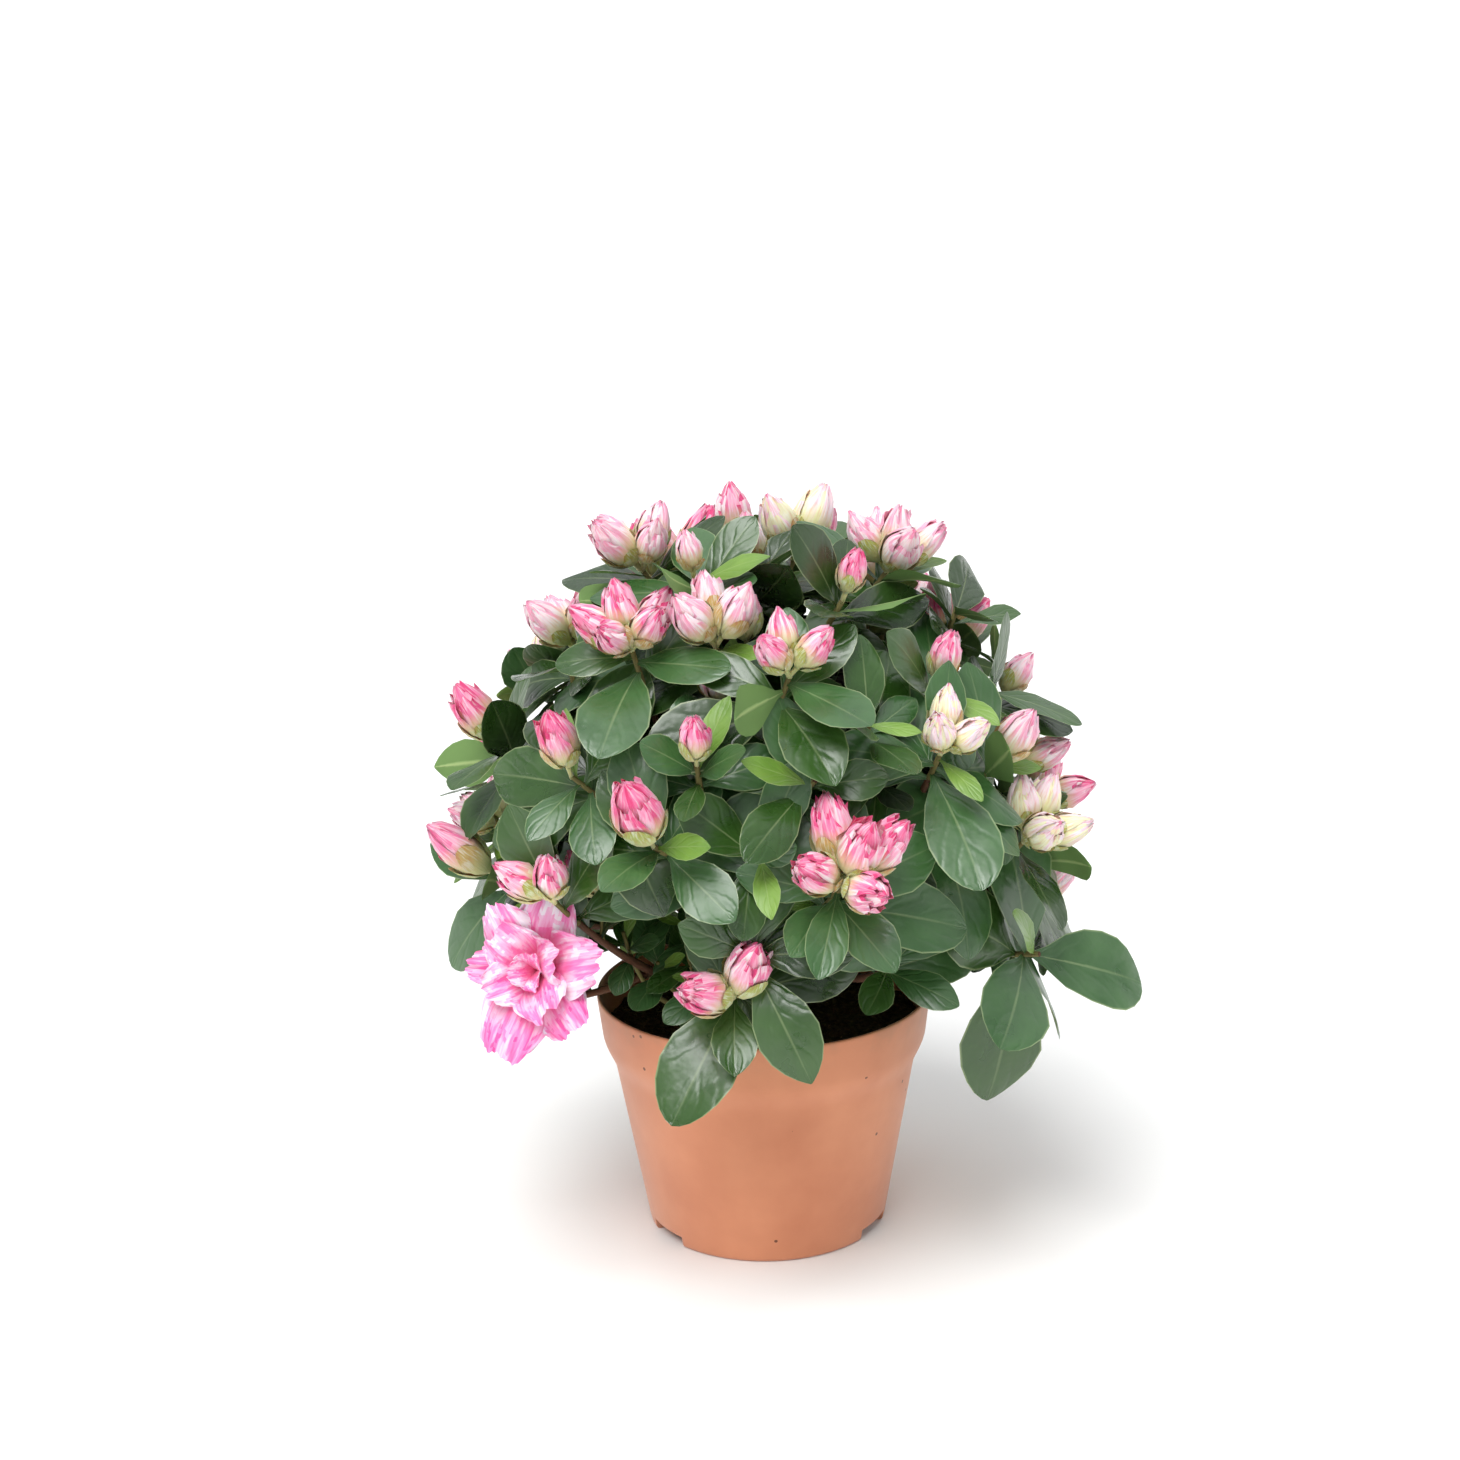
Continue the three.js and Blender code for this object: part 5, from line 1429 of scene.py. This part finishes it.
draw = dealer(8101)
outer_whorl = dict(lean=0.78, opening=0.86, ruffle=1.9, waves=4.2, cup=-1.5, lift=0.0)
middle_whorl = dict(lean=0.5, opening=0.85, ruffle=1.9, waves=4.2, cup=-0.6, lift=2.5)
inner_whorl = dict(lean=0.25, opening=0.7, ruffle=1.4, waves=3.0, cup=2.0, lift=4.0)
flower_table = [(*row, outer_whorl) for row in OUTER_PETALS]
flower_table += [(42 + 88 * k + draw(-14, 14), draw(20, 25), draw(10, 12.5), middle_whorl) for k in range(4)]
flower_table += [(12 + 120 * k, draw(12, 15), draw(5.5, 7), inner_whorl) for k in range(3)]
flower = []
for k, (petal_turn, length, width, whorl) in enumerate(flower_table):
    flower.append(
        dict(
            length=length,
            width=width,
            lean=whorl["lean"] + draw(-0.1, 0.1),
            opening=whorl["opening"] * draw(0.88, 1.12),
            ruffle=whorl["ruffle"] * draw(0.8, 1.3),
            waves=whorl["waves"] * draw(0.8, 1.25),
            phase=draw(0, 2 * math.pi),
            cup=whorl["cup"],
            notch=draw(0.0, 0.07),
            lift=whorl["lift"] + 0.8 * (k % 2),
            turn=math.radians(petal_turn),
        )
    )
surface = ruffled_petals(flower, FLOWER_ROWS, FLOWER_COLUMNS)[:, :, ::-1]
flower_points, upper, lower, edge = shells(surface, PETAL_THICKNESS)
# Open petals: the same tissue as in the buds, more lilac in the light, in four steps of pink.
OPEN_PETAL_COLOURS = {
    "open_petal_deep": "#EE59A6",
    "open_petal_pink": "#FA82C0",
    "open_petal_light": "#FBB2DA",
    "open_petal_white": "#FBE2F3",
}
flower_finishes = [
    petal_material(name, colour, FLOWER_THROAT) for name, colour in OPEN_PETAL_COLOURS.items()
]
row_share = np.linspace(0, 1, len(FLOWER_ROWS) - 1)[None, :, None]
column_share = np.linspace(-1, 1, len(FLOWER_COLUMNS) - 1)[None, None, :]
phase = np.array([petal["phase"] for petal in flower])[:, None, None]
marble = 0.8 * np.sin(6 * column_share + phase + 2.5 * row_share)
marble = marble + 0.5 * np.sin(14 * column_share - 2 * phase + 3 * row_share)
marble = marble + 0.6 * np.sin(5 * row_share + 3 * phase) + 1.5 * (row_share - 0.5)
marble = marble + 1.2 * (column_share**2 - 0.3)
marble = marble + np.random.default_rng(19).uniform(-0.4, 0.4, marble.shape)
finish = np.select([marble > 1.4, marble > 0.6, marble > -0.8], [3, 2, 1], 0).reshape(len(flower), -1)
stalk_root, stalk_tip = flower_hub - FLOWER_HEADING * 2, FLOWER_FOOT + FLOWER_HEADING * 2
flower_stalk = limbs(
    np.array([[stalk_root, (flower_hub + FLOWER_FOOT) / 2 + 1, stalk_tip]]),
    FLOWER_STALK_RADII[None, :, None] + np.zeros((1, 1, FLOWER_STALK_SIDES)),
)
flower_points, flower_blocks, flower_uv = joined(
    [
        (
            flower_points.reshape(-1, 3),
            [np.stack([upper, lower], 1).reshape(-1, 4)],
            sheet_uv(FLOWER_ROWS, FLOWER_COLUMNS, len(flower)),
        ),
        flower_stalk,
    ]
)
stalk_count = sum(len(block) for block in flower_stalk[1])
new_piece(
    "open_flower",
    ["mass_skirt_1"],
    flower_points,
    flower_blocks,
    [*flower_finishes, petal_finishes[SCALE_GREEN]],
    np.concatenate([np.stack([finish, finish], 1).ravel(), np.full(stalk_count, len(flower_finishes))]),
    flower_uv,
    np.concatenate([edge, np.zeros(len(flower_stalk[0]), bool)]),
)

# Stage: a plain pale floor that curves up far away, under soft daylight from above and the front,
# and the camera at the photograph's viewing angle, a little above the crown and a metre away.
# Distances are in metres.
FLOOR_PROFILE = np.array([(0.0, 0.0), (6.0, 0.0), (7.0, 0.12), (7.6, 0.4), (7.9, 0.9), (8.0, 1.6)])
FLOOR_COLUMNS = 96
FLOOR_COLOUR = "#F4F4F2"
SKY_COLOUR = "#F4F7FC"
SKY_STRENGTH = 0.55
floor_angle = np.arange(FLOOR_COLUMNS) * 2 * np.pi / FLOOR_COLUMNS
floor_points = np.stack(
    [
        np.outer(FLOOR_PROFILE[1:, 0], np.cos(floor_angle)),
        np.outer(FLOOR_PROFILE[1:, 0], np.sin(floor_angle)),
        FLOOR_PROFILE[1:, 1:] + 0 * floor_angle,
    ],
    -1,
).reshape(-1, 3)
floor_faces = lattice(len(FLOOR_PROFILE) - 1, FLOOR_COLUMNS, True)[:, ::-1].tolist()
floor_mesh = bpy.data.meshes.new("floor")
floor_mesh.from_pydata(floor_points.tolist(), [], [list(range(FLOOR_COLUMNS)), *floor_faces])
floor_mesh.polygons.foreach_set("use_smooth", [False] + [True] * len(floor_faces))
floor = stand("floor", floor_mesh)
paper, tree, shader = finish_of("white_paper", Roughness=0.9, Specular_IOR_Level=0.2)
shader.inputs["Base Color"].default_value = linear(FLOOR_COLOUR)
floor_mesh.materials.append(paper)

world = bpy.data.worlds.new("daylight")
bpy.context.scene.world = world
world.use_nodes = True
sky = world.node_tree.nodes["Background"]
sky.inputs["Color"].default_value = linear(SKY_COLOUR)
sky.inputs["Strength"].default_value = SKY_STRENGTH


def daylight(name, azimuth, elevation, spread, strength):
    """A soft far light. It comes from an azimuth and elevation, and from a disc that many degrees
    wide, so that near and far parts of the floor are as bright as each other."""
    light = bpy.data.lights.new(name, "SUN")
    light.angle = math.radians(spread)
    light.energy = strength
    stand(name, light).rotation_euler = (math.radians(90 - elevation), 0, math.radians(azimuth))


daylight("window", -26, 60, 40, 2.7)
daylight("ceiling", 150, 65, 90, 0.8)

FOCAL_PIXELS = 2600
IMAGE_PIXELS = 1460
SENSOR_WIDTH = 36
AIM = 0.270  # downward, in radians
ROLL = -0.023
camera_data = bpy.data.cameras.new("camera")
camera_data.sensor_width = SENSOR_WIDTH
camera_data.lens = SENSOR_WIDTH * FOCAL_PIXELS / IMAGE_PIXELS
camera = stand("camera", camera_data)
camera.location = (-0.0107, -0.949, 0.461)
camera.rotation_mode = "XYZ"
camera.rotation_euler = (math.pi / 2 - AIM, 0, 0)
rolled = camera.rotation_euler.to_matrix() @ Matrix.Rotation(ROLL, 3, "Z")
camera.rotation_euler = rolled.to_euler("XYZ")
bpy.context.scene.camera = camera
bpy.context.scene.view_settings.view_transform = "Standard"
